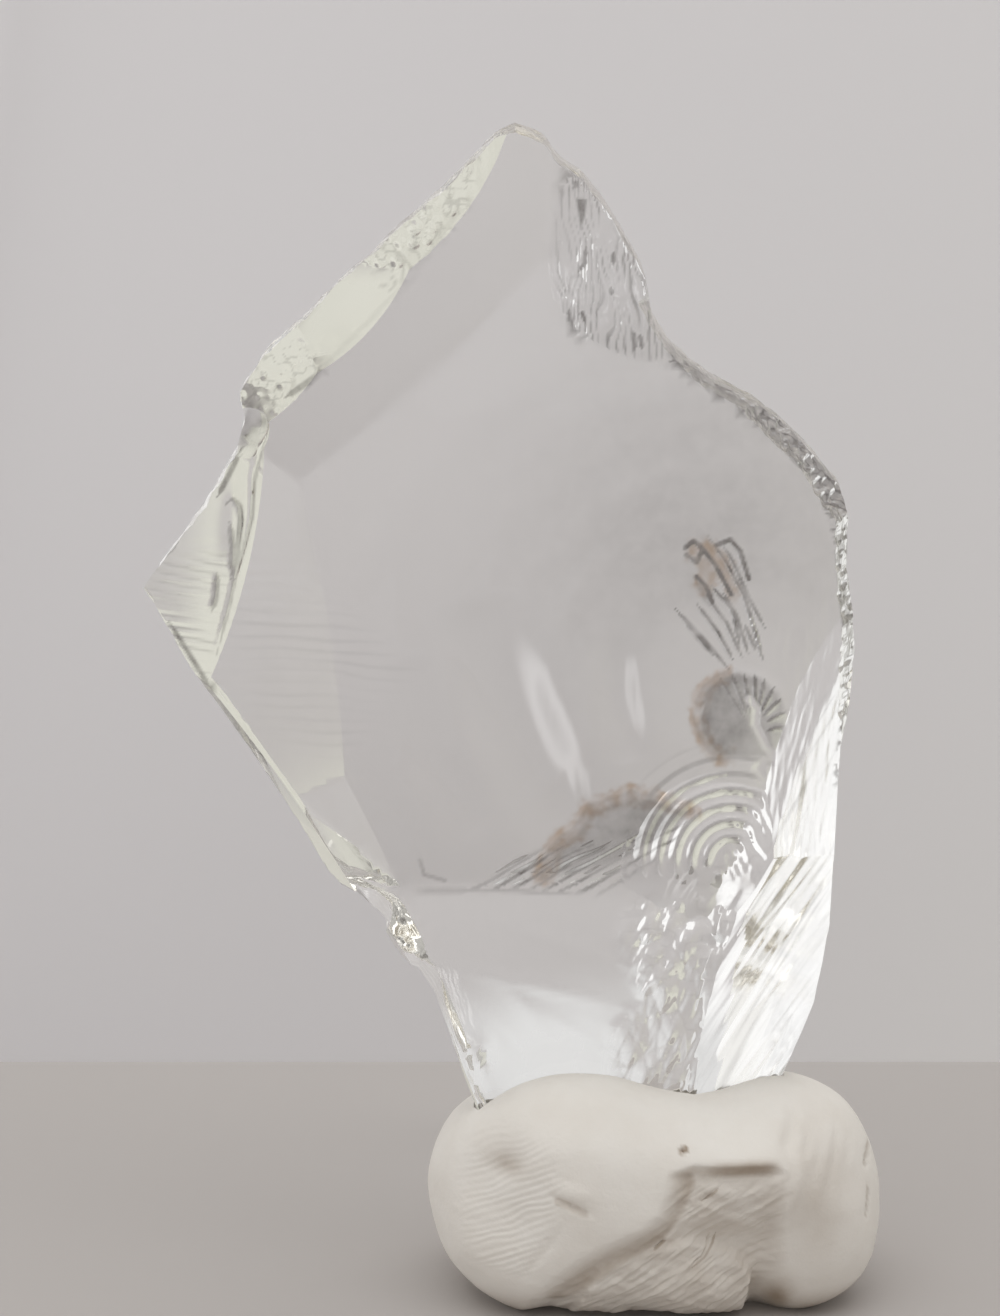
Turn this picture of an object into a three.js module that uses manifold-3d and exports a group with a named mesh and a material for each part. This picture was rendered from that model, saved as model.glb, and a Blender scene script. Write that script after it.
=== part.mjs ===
// A clear andara crystal: one flake of natural glass, broken on every side and left unpolished, that
// stands on its narrow foot in a lump of white display putty.
// Millimetres. X runs to the right and Y to the back as the broad face is seen, and Z runs up. The origin
// is on the surface that the putty rests on, under the middle of the lump.
import * as THREE from 'three';
import { mergeVertices } from 'three/addons/utils/BufferGeometryUtils.js';
import Module from 'manifold-3d';

const wasm = await Module();
wasm.setup();

// ---- driving dimensions ----------------------------------------------------------------------------
const blankHalfDepth = 16; // the unbroken blank reaches this far to the front and to the back
const puttyHalf = [16.1, 12.4, 9.0]; // half the lump's width, depth and height before it is pressed
const puttyMiddle = [0.1, 0.3, 7.4];
const puttyFullness = 2.35; // 2 would be an egg, and more is squarer
const puttySides = 52, puttyRings = 32;
const baseCut = 80; // the side of the block that takes the lump's underside off flat
const socketGap = 0.3; // between the foot of the crystal and the putty pressed round it
const footMiddle = [-1.5, 15], footHalfWidth = 10; // of the crystal's foot, seen from the front

// The crystal's outline from the front, as [x, z], from its peak down the right side and up the left.
const outline = [
  [-9.6, 83.0], [-8.5, 82.6], [-7.5, 82.1], [-6.7, 80.8], [-5.0, 79.6], [-3.5, 77.7], [-2.0, 75.4],
  [-0.7, 72.9], [-0.1, 69.9], [1.1, 68.0], [2.6, 66.6], [4.7, 65.1], [7.2, 63.8], [9.6, 61.9],
  [11.9, 59.4], [13.1, 57.9], [13.6, 55.7], [13.5, 52.7], [13.9, 49.7], [14.2, 46.5], [13.9, 42.9],
  [13.1, 40.1], [12.9, 35.7], [12.7, 31.3], [12.6, 26.9], [12.1, 23.7], [11.6, 21.1], [10.5, 18.3],
  [8.7, 14.3], [5.6, 6.6], [-7.5, 5.3], [-12.4, 14.3], [-13.4, 17.3], [-14.4, 20.7], [-15.2, 23.1],
  [-16.3, 24.8], [-17.9, 25.6], [-18.7, 27.0], [-18.3, 28.2], [-19.3, 29.4], [-21.6, 30.4], [-22.8, 31.4],
  [-24.7, 34.8], [-27.4, 39.1], [-30.1, 43.3], [-32.7, 46.9], [-35.5, 51.0], [-34.3, 52.7], [-31.5, 56.4],
  [-28.9, 60.6], [-28.4, 62.6], [-28.6, 64.8], [-26.8, 67.5], [-24.3, 69.7], [-22.0, 72.1], [-19.7, 74.1],
  [-17.4, 76.3], [-14.7, 78.6], [-12.7, 80.7], [-10.9, 82.5],
];

// ---- fracture faces ---------------------------------------------------------------------------------------
// Each break in the glass is one cutter whose near side is the fracture surface. `at` is the point where the
// break began, `yaw` and `pitch` turn its outward normal from straight ahead (-Y), in degrees, and `bowl` is
// the radius of its hollow. Ripples ring the start of the break and hackles run out from it.
const breaks = [
  // The front, from its broad face outwards.
  { name: 'broad front face', at: [7.2, -4.5, 42.6], yaw: -3.8, pitch: 6, reach: 62, bowl: 260,
    rings: 20, spokes: 48, ripple: 0.1, rippleSpacing: 6.5 },
  { name: 'lower front face', at: [-3.5, -4.78, 22.5], yaw: -1.7, pitch: -3.4, reach: 36, bowl: 200,
    rings: 9, spokes: 32, ripple: 0.08, rippleSpacing: 7 },
  { name: 'sail at the lower right', at: [9.9, -2.5, 25.5], yaw: 25.2, pitch: -10, reach: 26,
    bowl: 90, rings: 8, spokes: 60, hackle: 0.15, hackleFrom: 3 },
  { name: 'bevel along the right edge', at: [12.5, -3.3, 45], yaw: 24.2, pitch: -9.4, reach: 13.5,
    bowl: 43, rings: 6, spokes: 32, hackle: 0.15, hackleFrom: 1 },
  { name: 'left bevel', at: [-31.5, -1.57, 52.9], yaw: -29.6, pitch: 11.7, reach: 18, bowl: 60,
    rings: 6, spokes: 24 },
  { name: 'lower left bevel', at: [-27.8, -2.4, 39.3], yaw: -60.9, pitch: -31.1, reach: 16, bowl: 120,
    rings: 4, spokes: 20 },
  { name: 'neck bevel', at: [-15.2, -1.4, 19.3], yaw: -67.1, pitch: -22.9, reach: 13, bowl: 60,
    rings: 4, spokes: 20 },
  { name: 'upper left scar', at: [-15.4, -0.75, 77], yaw: -37.8, pitch: 29, reach: 12, bowl: 22,
    rings: 6, spokes: 32, hackle: 0.2, hackleFrom: 1 },
  { name: 'middle left scar', at: [-21, -1.68, 69.7], yaw: -26.7, pitch: 26.3, reach: 9, bowl: 22,
    rings: 4, spokes: 20 },
  { name: 'scar over the left notch', at: [-25.8, -1.1, 66.3], yaw: -28.9, pitch: 26.5, reach: 8,
    bowl: 16, rings: 4, spokes: 20, hackle: 0.2, hackleFrom: 1 },
  { name: 'left notch', at: [-26.9, -1.9, 63.1], yaw: -50, pitch: -12, reach: 4, bowl: 1.6, rings: 4,
    spokes: 16 },
  { name: 'upper right scar', at: [1, -1.75, 74.5], yaw: -4, pitch: 0, reach: 13, bowl: 26,
    rings: 6, spokes: 40, hackle: 0.2, hackleFrom: 0.5 },
  { name: 'shoulder scar 1', at: [3.2, 0.17, 66.1], yaw: 72.6, pitch: 50.5, reach: 6, bowl: 14,
    rings: 3, spokes: 12 },
  { name: 'shoulder scar 2', at: [8.7, -0.22, 61.9], yaw: 67.3, pitch: 47.4, reach: 6, bowl: 14,
    rings: 3, spokes: 12 },
  { name: 'shoulder scar 3', at: [12.1, -0.98, 57.9], yaw: 65.9, pitch: 36.5, reach: 6, bowl: 14,
    rings: 3, spokes: 12 },
  { name: 'upper right edge', at: [13.5, -0.9, 52.9], yaw: 69.6, pitch: 4.4, reach: 9, bowl: 30,
    rings: 3, spokes: 16 },
  { name: 'lower right edge', at: [13.7, -0.7, 43.7], yaw: 68.4, pitch: -0.3, reach: 11, bowl: 30,
    rings: 3, spokes: 16 },
  { name: 'start of the break', at: [5.9, -3.6, 43.2], yaw: -6, pitch: 20, reach: 7, bowl: 9, rings: 6,
    spokes: 24, hackle: 0.25, hackleFrom: 0.5 },
  { name: 'shell by the neck', at: [5.4, -4.5, 32.6], yaw: -6, pitch: 6, reach: 12, bowl: 17.5,
    rings: 14, spokes: 28, ripple: 0.14, rippleSpacing: 1.3 },
  { name: 'hackled hollow over the neck', at: [-3.8, -4.5, 33.4], yaw: -12, pitch: 22, reach: 8,
    bowl: 10, rings: 5, spokes: 32, hackle: 0.25, hackleFrom: 0.5 },
  // The back.
  { name: 'broad back face', at: [-8, 4.4, 56], yaw: 178, pitch: -1, reach: 66, bowl: 300, rings: 16,
    spokes: 40, ripple: 0.08, rippleSpacing: 8 },
  { name: 'neck back', at: [-3.5, 4.53, 22.5], yaw: 179.3, pitch: -3.8, reach: 34, bowl: 200, rings: 7,
    spokes: 24 },
  { name: 'upper left back', at: [-19.6, 3.8, 69], yaw: -171.8, pitch: 10.1, reach: 24, bowl: 160,
    rings: 5, spokes: 20 },
  { name: 'left back', at: [-28.8, 2.8, 50.1], yaw: -157.3, pitch: -5.1, reach: 26, bowl: 120, rings: 5,
    spokes: 20 },
  { name: 'lower left back', at: [-26.4, 4.1, 38.2], yaw: -160, pitch: -12, reach: 22, bowl: 120,
    rings: 5, spokes: 20 },
  { name: 'neck left back', at: [-15, 3.9, 20.6], yaw: -134, pitch: -20, reach: 16, bowl: 80,
    rings: 5, spokes: 16 },
  { name: 'neck right back', at: [10.7, 0.9, 25.5], yaw: 147, pitch: -8.7, reach: 20, bowl: 250,
    rings: 7, spokes: 32, hackle: 0.1, hackleFrom: 3 },
];

const rippleBuild = 4; // ripples reach their full height this far from the start of the break
const hackleBuild = 5; // and hackles this far from where they set in
const ringSpread = 1.25; // above 1, a cutter's rings are closer together near the start of its break
const capHeight = 70; // a cutter's far side, well clear of the blank
const toRadians = Math.PI / 180;

// A repeatable number from 0 to 1 for the nth member of a series.
function chance(n, series) {
  const s = Math.sin(n * 127.1 + series * 311.7) * 43758.5453;
  return s - Math.floor(s);
}

function facing(yaw, pitch) {
  const a = yaw * toRadians, e = pitch * toRadians;
  return new THREE.Vector3(Math.sin(a) * Math.cos(e), -Math.cos(a) * Math.cos(e), Math.sin(e));
}

// How far the fracture surface stands out of its tangent plane at distance r and angle t from its start.
function relief(r, t, b) {
  const hollow = (r * r) / (2 * b.bowl);
  const wave = Math.cos((2 * Math.PI * r) / (b.rippleSpacing ?? 1));
  const rings = (b.ripple ?? 0) * wave * Math.min(1, r / rippleBuild);
  const from = b.hackleFrom ?? 0;
  const grown = THREE.MathUtils.smoothstep(r, from, from + hackleBuild);
  const spoke = Math.round((t / (2 * Math.PI)) * b.spokes) % b.spokes;
  const rays = (b.hackle ?? 0) * grown * (chance(spoke, b.bowl) - 0.5);
  return hollow + rings + rays;
}

// One cutter: a lathe turned about the face's normal, whose flat end is then raised by the relief.
function cutter(b) {
  const profile = [];
  for (let i = 0; i <= b.rings; i++) {
    profile.push(new THREE.Vector2(b.reach * (i / b.rings) ** ringSpread, 0));
  }
  profile.push(new THREE.Vector2(b.reach, capHeight), new THREE.Vector2(0, capHeight));
  const g = new THREE.LatheGeometry(profile, b.spokes);
  const p = g.getAttribute('position');
  for (let i = 0; i < p.count; i++) {
    if (p.getY(i) > 0) continue;
    const r = Math.hypot(p.getX(i), p.getZ(i)), t = Math.atan2(p.getX(i), p.getZ(i)) + Math.PI;
    p.setY(i, relief(r, r < 1e-6 ? 0 : t, b));
  }
  const out = facing(b.yaw, b.pitch);
  g.applyQuaternion(new THREE.Quaternion().setFromUnitVectors(new THREE.Vector3(0, 1, 0), out));
  return g.translate(...b.at);
}

// ---- solids ----------------------------------------------------------------------------------------
function solid(geometry) {
  const g = geometry.clone();
  g.deleteAttribute('normal');
  g.deleteAttribute('uv');
  const merged = mergeVertices(g, 1e-4);
  const make = (index) => new wasm.Manifold(new wasm.Mesh({
    numProp: 3, vertProperties: merged.getAttribute('position').array, triVerts: new Uint32Array(index),
  }));
  const index = merged.index.array, made = make(index);
  return made.volume() > 0 ? made : make(Array.from(index).reverse());
}

function geometryOf(made) {
  const m = made.getMesh();
  return new THREE.BufferGeometry()
    .setAttribute('position', new THREE.BufferAttribute(new Float32Array(m.vertProperties), 3))
    .setIndex(new THREE.BufferAttribute(new Uint32Array(m.triVerts), 1));
}

// The glass, or the space it needs: with a gap, each face stands that much further out and is smooth.
function crystalSolid(gap = 0) {
  const grown = 1 + gap / footHalfWidth;
  const points = outline.map(([x, z]) => new THREE.Vector2(
    footMiddle[0] + (x - footMiddle[0]) * grown, footMiddle[1] + (z - footMiddle[1]) * grown));
  const blank = new THREE.ExtrudeGeometry(new THREE.Shape(points), {
    depth: 2 * blankHalfDepth, bevelEnabled: false });
  blank.rotateX(Math.PI / 2).translate(0, blankHalfDepth, 0);
  const faces = gap ? breaks.map((b) => moved(b, gap)) : breaks;
  return faces.reduce((made, b) => made.subtract(solid(cutter(b))), solid(blank));
}

function moved(b, gap) {
  const shift = gap + (b.hackle ?? 0) / 2 + (b.ripple ?? 0);
  const at = facing(b.yaw, b.pitch).multiplyScalar(shift).add(new THREE.Vector3(...b.at));
  return { ...b, at: at.toArray(), hackle: 0, ripple: 0 };
}

// ---- putty -----------------------------------------------------------------------------------------
// Where fingers pressed the lump, as [x, y, z] on its surface, with the reach and depth of the press.
// A negative depth is a place where the putty was squeezed out.
const presses = [
  { name: 'left roll in front of the foot', at: [-7, -6, 15.5], reach: 7, depth: -2.1 },
  { name: 'right roll', at: [10.5, -2, 14], reach: 5.5, depth: -1.7 },
  { name: 'saddle in front of the foot', at: [4.6, -6, 15], reach: 4, depth: 0.8 },
  { name: 'low rim behind the foot', at: [-1, 7, 16], reach: 9, depth: 3.6 },
  { name: 'thumb dent', at: [-11, -9.5, 10], reach: 4, depth: 0.9 },
  { name: 'hollow under the right roll', at: [6.5, -12, 5], reach: 4.6, depth: 2.4 },
  { name: 'lip over the hollow', at: [7, -11, 10.5], reach: 3.6, depth: -1.1 },
  { name: 'bottom flap', at: [4.5, -11.5, 1.5], reach: 3.4, depth: -1.3 },
  { name: 'full lower right', at: [12, -5, 2.5], reach: 5.5, depth: -1.7 },
  { name: 'full lower left', at: [-9, -7, 1.5], reach: 5, depth: -0.8 },
  { name: 'top of the left roll', at: [-4.5, -6.5, 16], reach: 5, depth: -0.9 },
];

// The lump before it was pressed: between a ball and a box, seen from its middle in direction d.
function lumpRadius(d) {
  const sum = d.toArray().reduce((made, v, i) => made + Math.abs(v / puttyHalf[i]) ** puttyFullness, 0);
  return sum ** (-1 / puttyFullness);
}

function puttySolid(foot) {
  const ball = new THREE.SphereGeometry(1, puttySides, puttyRings).rotateX(Math.PI / 2);
  const p = ball.getAttribute('position');
  const middle = new THREE.Vector3(...puttyMiddle), d = new THREE.Vector3(), place = new THREE.Vector3();
  for (let i = 0; i < p.count; i++) {
    d.fromBufferAttribute(p, i).normalize();
    place.copy(middle).addScaledVector(d, lumpRadius(d));
    const pressed = presses.reduce((sum, press) => {
      const away = place.distanceTo(new THREE.Vector3(...press.at)) / press.reach;
      return sum + press.depth * Math.exp(-away * away);
    }, 0);
    place.addScaledVector(d, -pressed);
    p.setXYZ(i, place.x, place.y, place.z);
  }
  const underside = new THREE.BoxGeometry(baseCut, baseCut, baseCut).translate(0, 0, -baseCut / 2);
  return solid(ball).subtract(solid(underside)).subtract(foot);
}

const crystal = new THREE.Mesh(geometryOf(crystalSolid()), new THREE.MeshStandardMaterial({
  color: 0xf4f3ee, roughness: 0.03, metalness: 0, transparent: true, opacity: 0.35 }));
crystal.name = 'crystal';

const putty = new THREE.Mesh(geometryOf(puttySolid(crystalSolid(socketGap))), new THREE.MeshStandardMaterial({
  color: 0xd2cbc2, roughness: 0.75, metalness: 0 }));
putty.name = 'putty';

const group = new THREE.Group();
group.add(crystal, putty);
export default group;
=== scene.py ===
import math

import bpy
import numpy as np
from bpy.props import FloatProperty, FloatVectorProperty, PointerProperty
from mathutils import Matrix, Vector


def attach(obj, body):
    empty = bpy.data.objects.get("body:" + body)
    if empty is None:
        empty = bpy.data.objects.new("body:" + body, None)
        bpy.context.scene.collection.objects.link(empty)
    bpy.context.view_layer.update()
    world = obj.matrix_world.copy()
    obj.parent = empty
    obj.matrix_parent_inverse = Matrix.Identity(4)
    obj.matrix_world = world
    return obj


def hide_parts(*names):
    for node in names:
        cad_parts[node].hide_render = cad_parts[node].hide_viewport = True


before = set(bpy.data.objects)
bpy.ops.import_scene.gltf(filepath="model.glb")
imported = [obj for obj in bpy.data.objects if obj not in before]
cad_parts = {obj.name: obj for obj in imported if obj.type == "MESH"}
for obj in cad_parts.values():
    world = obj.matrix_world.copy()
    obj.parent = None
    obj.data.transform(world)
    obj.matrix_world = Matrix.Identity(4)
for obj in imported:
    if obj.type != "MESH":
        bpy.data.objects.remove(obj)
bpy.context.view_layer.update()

bl_info = {
    "name": "Clear flake on a putty stand",
    "version": (1, 0, 0),
    "blender": (4, 5, 0),
    "location": "3D View > Sidebar > Flake",
    "description": "Models a rough flake of clear natural glass in a pressed lump of white putty",
    "category": "Add Mesh",
}

MM = 0.001  # pieces are shaped in millimetres and brought to metres when they are finished
FAINT = 0.02  # a window or a stain below this counts as nothing

# ---- shaping: noise, windows and the marks a break leaves ----------------------------------------


def chance(i, j, seed):
    """A repeatable number from 0 to 1 for each whole-numbered cell."""
    n = (i.astype(np.int64) * 374761393 + j.astype(np.int64) * 668265263 + seed * 362437) & 0xFFFFFFFF
    n = ((n ^ (n >> 13)) * 1274126177) & 0xFFFFFFFF
    return ((n ^ (n >> 16)) & 0xFFFF) / 65535.0


def grain(a, b, seed=0):
    """Smooth noise from -1 to 1 that changes over about one unit."""
    i, j = np.floor(a), np.floor(b)
    s, t = a - i, b - j
    s, t = s * s * (3 - 2 * s), t * t * (3 - 2 * t)
    low = chance(i, j, seed) * (1 - s) + chance(i + 1, j, seed) * s
    high = chance(i, j + 1, seed) * (1 - s) + chance(i + 1, j + 1, seed) * s
    return 2 * (low * (1 - t) + high * t) - 1


def ease(value, low, high):
    """0 below low, 1 above high and smooth between."""
    t = np.clip((value - low) / (high - low), 0, 1)
    return t * t * (3 - 2 * t)


def between(value, low, high, soft):
    """1 between two values, with soft ends."""
    return ease(value, low - soft, low + soft) * (1 - ease(value, high - soft, high + soft))


def polar(x, z, centre):
    """Distance from the centre and the direction from it, in degrees up from the right."""
    dx, dz = x - centre[0], z - centre[1]
    return np.hypot(dx, dz), np.degrees(np.arctan2(dz, dx))


def sector(turn, toward, spread):
    """1 within the sector and 0 well outside it."""
    away = np.abs((turn - toward + 180) % 360 - 180)
    return 1 - ease(away, spread * 0.55, spread)


def beside(x, z, line):
    """The distance to a line of points, and how far along it the nearest point is, from 0 to 1."""
    best, along, total = np.full(x.shape, 1e9), np.zeros(x.shape), 0.0
    lengths = [math.dist(p, q) for p, q in zip(line, line[1:])]
    for (p, q), length in zip(zip(line, line[1:]), lengths):
        dx, dz = (q[0] - p[0]) / length, (q[1] - p[1]) / length
        t = np.clip((x - p[0]) * dx + (z - p[1]) * dz, 0, length)
        away = np.hypot(x - p[0] - t * dx, z - p[1] - t * dz)
        nearer = away < best
        best, along = np.where(nearer, away, best), np.where(nearer, total + t, along)
        total += length
    return best, along / total


def spot(centre, radius, soft):
    """A round window."""
    return lambda x, z: 1 - ease(np.hypot(x - centre[0], z - centre[1]), radius - soft, radius + soft)


def strip(line, reach, soft):
    """A window along a line of points."""
    return lambda x, z: 1 - ease(beside(x, z, line)[0], reach - soft, reach + soft)


def everywhere(x, z):
    """The window that leaves nothing out."""
    return np.ones(x.shape)


def within(corners, soft):
    """A window with the given corners."""
    ring = list(corners) + [corners[0]]
    def window(x, z):
        inside = np.zeros(x.shape, bool)
        for (ax, az), (bx, bz) in zip(ring, ring[1:]):
            crosses = (az > z) != (bz > z)
            inside ^= crosses & (x < ax + (z - az) * (bx - ax) / ((bz - az) or 1e-9))
        away = beside(x, z, ring)[0]
        return ease(np.where(inside, away, -away), -soft, soft)
    return window


def ribbed(centre, spacing, height, near, far, toward, spread, soft):
    """Rib marks: waves that run round the point where the break began, in one sector."""
    def shape(h, x, z):
        r, turn = polar(x, z, centre)
        wave = np.cos(2 * np.pi * ((r - near) / spacing))
        return h + height * wave * between(r, near, far, soft) * sector(turn, toward, spread)
    return shape


def swelled(line, half_width, height):
    """A low swell that follows a line and dies out at its ends."""
    def shape(h, x, z):
        away, along = beside(x, z, line)
        t = np.clip(away / half_width, 0, 1)
        ends = np.sin(np.pi * np.clip(along, 0, 1)) ** 0.6
        return h + height * (1 - t * t) ** 2 * ends
    return shape


def turned_by(turn, x, z):
    """How far along and across a direction, in degrees up from the right, each point lies."""
    c, s = math.cos(math.radians(turn)), math.sin(math.radians(turn))
    return x * c + z * s, z * c - x * s


def streaks_at(x, z, turn, width, length, seed):
    """The height, from -1.5 to 1.5, of straight streaks that run at one angle."""
    along, across = turned_by(turn, x, z)
    broad = grain(across / width, along / length, seed)
    return broad + 0.5 * grain(across / width * 2.1, along / length * 1.6, seed + 3)


def streaked(turn, width, length, height, window, seed):
    """Straight streaks that all run one way."""
    return lambda h, x, z: h + height * streaks_at(x, z, turn, width, length, seed) * window(x, z)


def wave_at(x, z, turn, spacing, seed, wander=0.25):
    """The height, from -1 to 1, of parallel waves whose crests run at one angle."""
    along, across = turned_by(turn, x, z)
    phase = across / spacing + wander * grain(across / spacing * 0.4, along / spacing * 0.25, seed)
    swing = 0.65 + 0.35 * grain(across / spacing * 0.7, along / spacing * 0.2, seed + 5)
    return np.cos(2 * np.pi * phase) * swing


def waved(wave, height, window):
    """Parallel waves, given by their turn, spacing and seed, and by how far they stray."""
    return lambda h, x, z: h + height * wave_at(x, z, *wave) * window(x, z)


def scooped(window, low, slope, turn):
    """A place that leans back from the level of a point, in one direction, down to a step."""
    def shape(h, x, z):
        up = np.maximum(turned_by(turn, x - low[0], z - low[1])[0], 0)
        return h - slope * up * window(x, z)
    return shape


def fissured(lines, width, depth):
    """Cracks: narrow grooves with sharp bottoms, which taper to their ends."""
    def shape(h, x, z):
        for line in lines:
            away, along = beside(x, z, line)
            taper = np.clip(np.minimum(along, 1 - along) * 6, 0, 1)
            h = h - depth * taper * np.clip(1 - away / width, 0, 1)
        return h
    return shape


def dented(places):
    """Smooth dents, as (x, z, half width, half height, turn in degrees, depth)."""
    def shape(h, x, z):
        for cx, cz, rx, rz, turn, depth in places:
            along, across = turned_by(turn, x - cx, z - cz)
            a, b = along / rx, across / rz
            h = h - depth * np.exp(-(a * a + b * b))
        return h
    return shape


def chipped(spacing, hollow, depth, lean, window=everywhere, seed=1, stretch=1, turn=0, kept=1,
            tilt=0):
    """Many small overlapping scars with sharp ridges between them, which may all lean one way."""
    def shape(h, x, z):
        a, b = turned_by(turn, x, z)
        a = a / stretch
        i0, j0 = np.floor(a / spacing), np.floor(b / spacing)
        lowest = np.full(x.shape, 1e9)
        for di in (-1, 0, 1):
            for dj in (-1, 0, 1):
                i, j = i0 + di, j0 + dj
                da = a - (i + 0.1 + 0.8 * chance(i, j, seed)) * spacing
                db = b - (j + 0.1 + 0.8 * chance(i, j, seed + 1)) * spacing
                ta = tilt + lean * (2 * chance(i, j, seed + 2) - 1)
                tb = lean * (2 * chance(i, j, seed + 3) - 1)
                bowl = (da * da + db * db) / (2 * hollow)
                scar = bowl + ta * da + tb * db - depth * chance(i, j, seed + 4)
                scar = np.where(chance(i, j, seed + 5) < kept, scar, 1)
                lowest = np.minimum(lowest, scar)
        return h + np.minimum(lowest, 0) * window(x, z)
    return shape


def blot(x, z, at, width, height):
    """1 at a point, fading away round it."""
    return np.exp(-(((x - at[0]) / width) ** 2 + ((z - at[1]) / height) ** 2))


def lined(x, z, lines, width, tapered=False):
    """1 on the lines, falling to 0 beside them."""
    nearest = np.full(x.shape, 1e9)
    for line in lines:
        away, along = beside(x, z, line)
        if tapered:
            away = away / np.clip(6 * np.minimum(along, 1 - along), 0.3, 1)
        nearest = np.minimum(nearest, away)
    return 1 - ease(nearest, width * 0.4, width)


def curled(x, z, size, width, seed):
    """1 on thin lines that wander and close, as the edges of small crumbs do."""
    return 1 - ease(np.abs(grain(x / size, z / size, seed)), width * 0.4, width)


# ---- the flake's outline and its breaks, in millimetres ------------------------------------------

OUTLINE = [
    (-9.6, 83.0), (-8.5, 82.6), (-7.5, 82.1), (-6.7, 80.8), (-5.0, 79.6), (-3.5, 77.7), (-2.0, 75.4),
    (-0.7, 72.9), (-0.1, 69.9), (1.1, 68.0), (2.6, 66.6), (4.7, 65.1), (7.2, 63.8), (9.6, 61.9),
    (11.9, 59.4), (13.1, 57.9), (13.6, 55.7), (13.5, 52.7), (13.9, 49.7), (14.2, 46.5), (13.9, 42.9),
    (13.1, 40.1), (12.9, 35.7), (12.7, 31.3), (12.6, 26.9), (12.1, 23.7), (11.6, 21.1), (10.5, 18.3),
    (8.7, 14.3), (5.6, 6.6), (-7.5, 5.3), (-12.4, 14.3), (-13.4, 17.3), (-14.4, 20.7), (-15.2, 23.1),
    (-16.3, 24.8), (-17.9, 25.6), (-18.7, 27.0), (-18.3, 28.2), (-19.3, 29.4), (-21.6, 30.4),
    (-22.8, 31.4), (-24.7, 34.8), (-27.4, 39.1), (-30.1, 43.3), (-32.7, 46.9), (-35.5, 51.0),
    (-34.3, 52.7), (-31.5, 56.4), (-28.9, 60.6), (-28.4, 62.6), (-28.6, 64.8), (-26.8, 67.5),
    (-24.3, 69.7), (-22.0, 72.1), (-19.7, 74.1), (-17.4, 76.3), (-14.7, 78.6), (-12.7, 80.7),
    (-10.9, 82.5),
]

# Places on the flake, as (x, z), windows over them and lines along them.
START = (6.4, 42.5)  # where the broad front face began to break
DISC_RIM = [
    (3.15, 43.6), (3.6, 44.6), (4.5, 45.4), (5.8, 45.8), (7.4, 45.4), (8.6, 44.4), (9.1, 42.9),
    (8.9, 41.2), (7.9, 40.0), (4.6, 39.9), (3.9, 40.6), (3.3, 41.6), (3.05, 42.6),
]
PATCH_TOP = [
    (-7.6, 31.6), (-7.0, 33.4), (-6.1, 34.3), (-5.5, 34.6), (-5.1, 35.2), (-4.3, 36.4),
    (-3.5, 36.5), (-3.0, 36.8), (-2.2, 36.9), (-1.5, 37.3), (-0.9, 37.0), (-0.2, 37.1), (1.2, 36.6),
    (2.6, 36.0),
]
PATCH = within(PATCH_TOP + [(0.6, 34.2), (-1.4, 33.0), (-3.7, 32.2)], 0.45)
COMB = within([
    (-12.5, 30.7), (-9.5, 32.6), (-6.6, 33.8), (-3.7, 34.0), (-0.5, 35.0), (2.4, 36.0), (1.9, 33.6),
    (-3.7, 30.4),
], 0.5)
BESIDE_COMB = within([
    (4.6, 38.6), (8.8, 40.2), (9.4, 36.4), (7.0, 31.6), (4.4, 31.2), (5.8, 34.6),
], 0.6)
SHELL = (5.6, 32.4)  # the middle of the shell's arcs
SHELL_SPACING, SHELL_NEAR = 1.15, 1.2
CHIPS = within([
    (-3.0, 15.5), (-2.6, 20.5), (-1.0, 22.5), (-2.4, 27.0), (-2.0, 30.0), (2.3, 30.5), (3.0, 33.2),
    (7.6, 33.5), (7.0, 29.5), (3.6, 22.0), (3.4, 15.0),
], 0.8)
UPPER_CHIPS = within([
    (-0.6, 23.0), (-1.9, 27.0), (-1.5, 30.0), (2.6, 30.5), (3.4, 33.0), (7.4, 33.3), (7.0, 29.5),
    (4.0, 23.0),
], 0.8)
SAIL = within([(2.0, 12), (3.9, 20), (6.0, 27), (9.0, 36), (12, 44), (15, 44), (15, 12)], 0.5)
STRIPED = within([(-36, 53), (-29.3, 54), (-29.8, 50), (-31.0, 45), (-33, 44)], 0.6)
STRIATED = within([(-29.5, 50.5), (-22, 50), (-17, 46), (-22, 40), (-27, 43)], 2)
STREAKED = within([
    (8.0, 48.2), (10.4, 50.6), (13.0, 53.4), (13.8, 46.3), (13.2, 41.4), (9.0, 43.5),
], 0.8)
UPPER_RIGHT = within([
    (-6.6, 81.0), (-3.8, 79.5), (-1.8, 76.8), (0.4, 73.0), (1.0, 69.7), (2.1, 67.9), (-0.5, 67.2),
    (-3.3, 68.0), (-5.8, 68.6), (-6.8, 71.7), (-7.2, 75.0),
], 0.4)
UPPER_RIGHT_SHADE = within([(-5.5, 78.4), (-4.7, 78.3), (-4.85, 77.1), (-5.15, 76.2)], 0.12)
UPPER_RIGHT_BITS = [
    [(-4.8, 75.0), (-4.8, 74.0), (-5.3, 73.3)], [(-2.9, 74.6), (-2.9, 73.8)],
    [(-3.0, 72.3), (-3.0, 71.7)], [(-1.5, 69.3), (-1.4, 68.0)], [(-1.1, 69.1), (-0.9, 68.1)],
    [(-5.1, 70.7), (-4.8, 69.9)], [(-6.0, 70.9), (-5.6, 68.9)],
]
UPPER_RIGHT_RIM = [
    (-0.8, 73.0), (-0.3, 70.6), (0.3, 69.3), (1.1, 67.7), (1.9, 66.9), (2.8, 66.2), (4.0, 65.7),
    (5.4, 64.7), (7.2, 63.4),
]
UPPER_LEFT = within([
    (-19.7, 73.9), (-16.4, 78.0), (-13.1, 81.0), (-11.6, 82.0), (-12.9, 77.6), (-15.3, 74.4),
    (-18.5, 71.5),
], 0.4)
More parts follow.
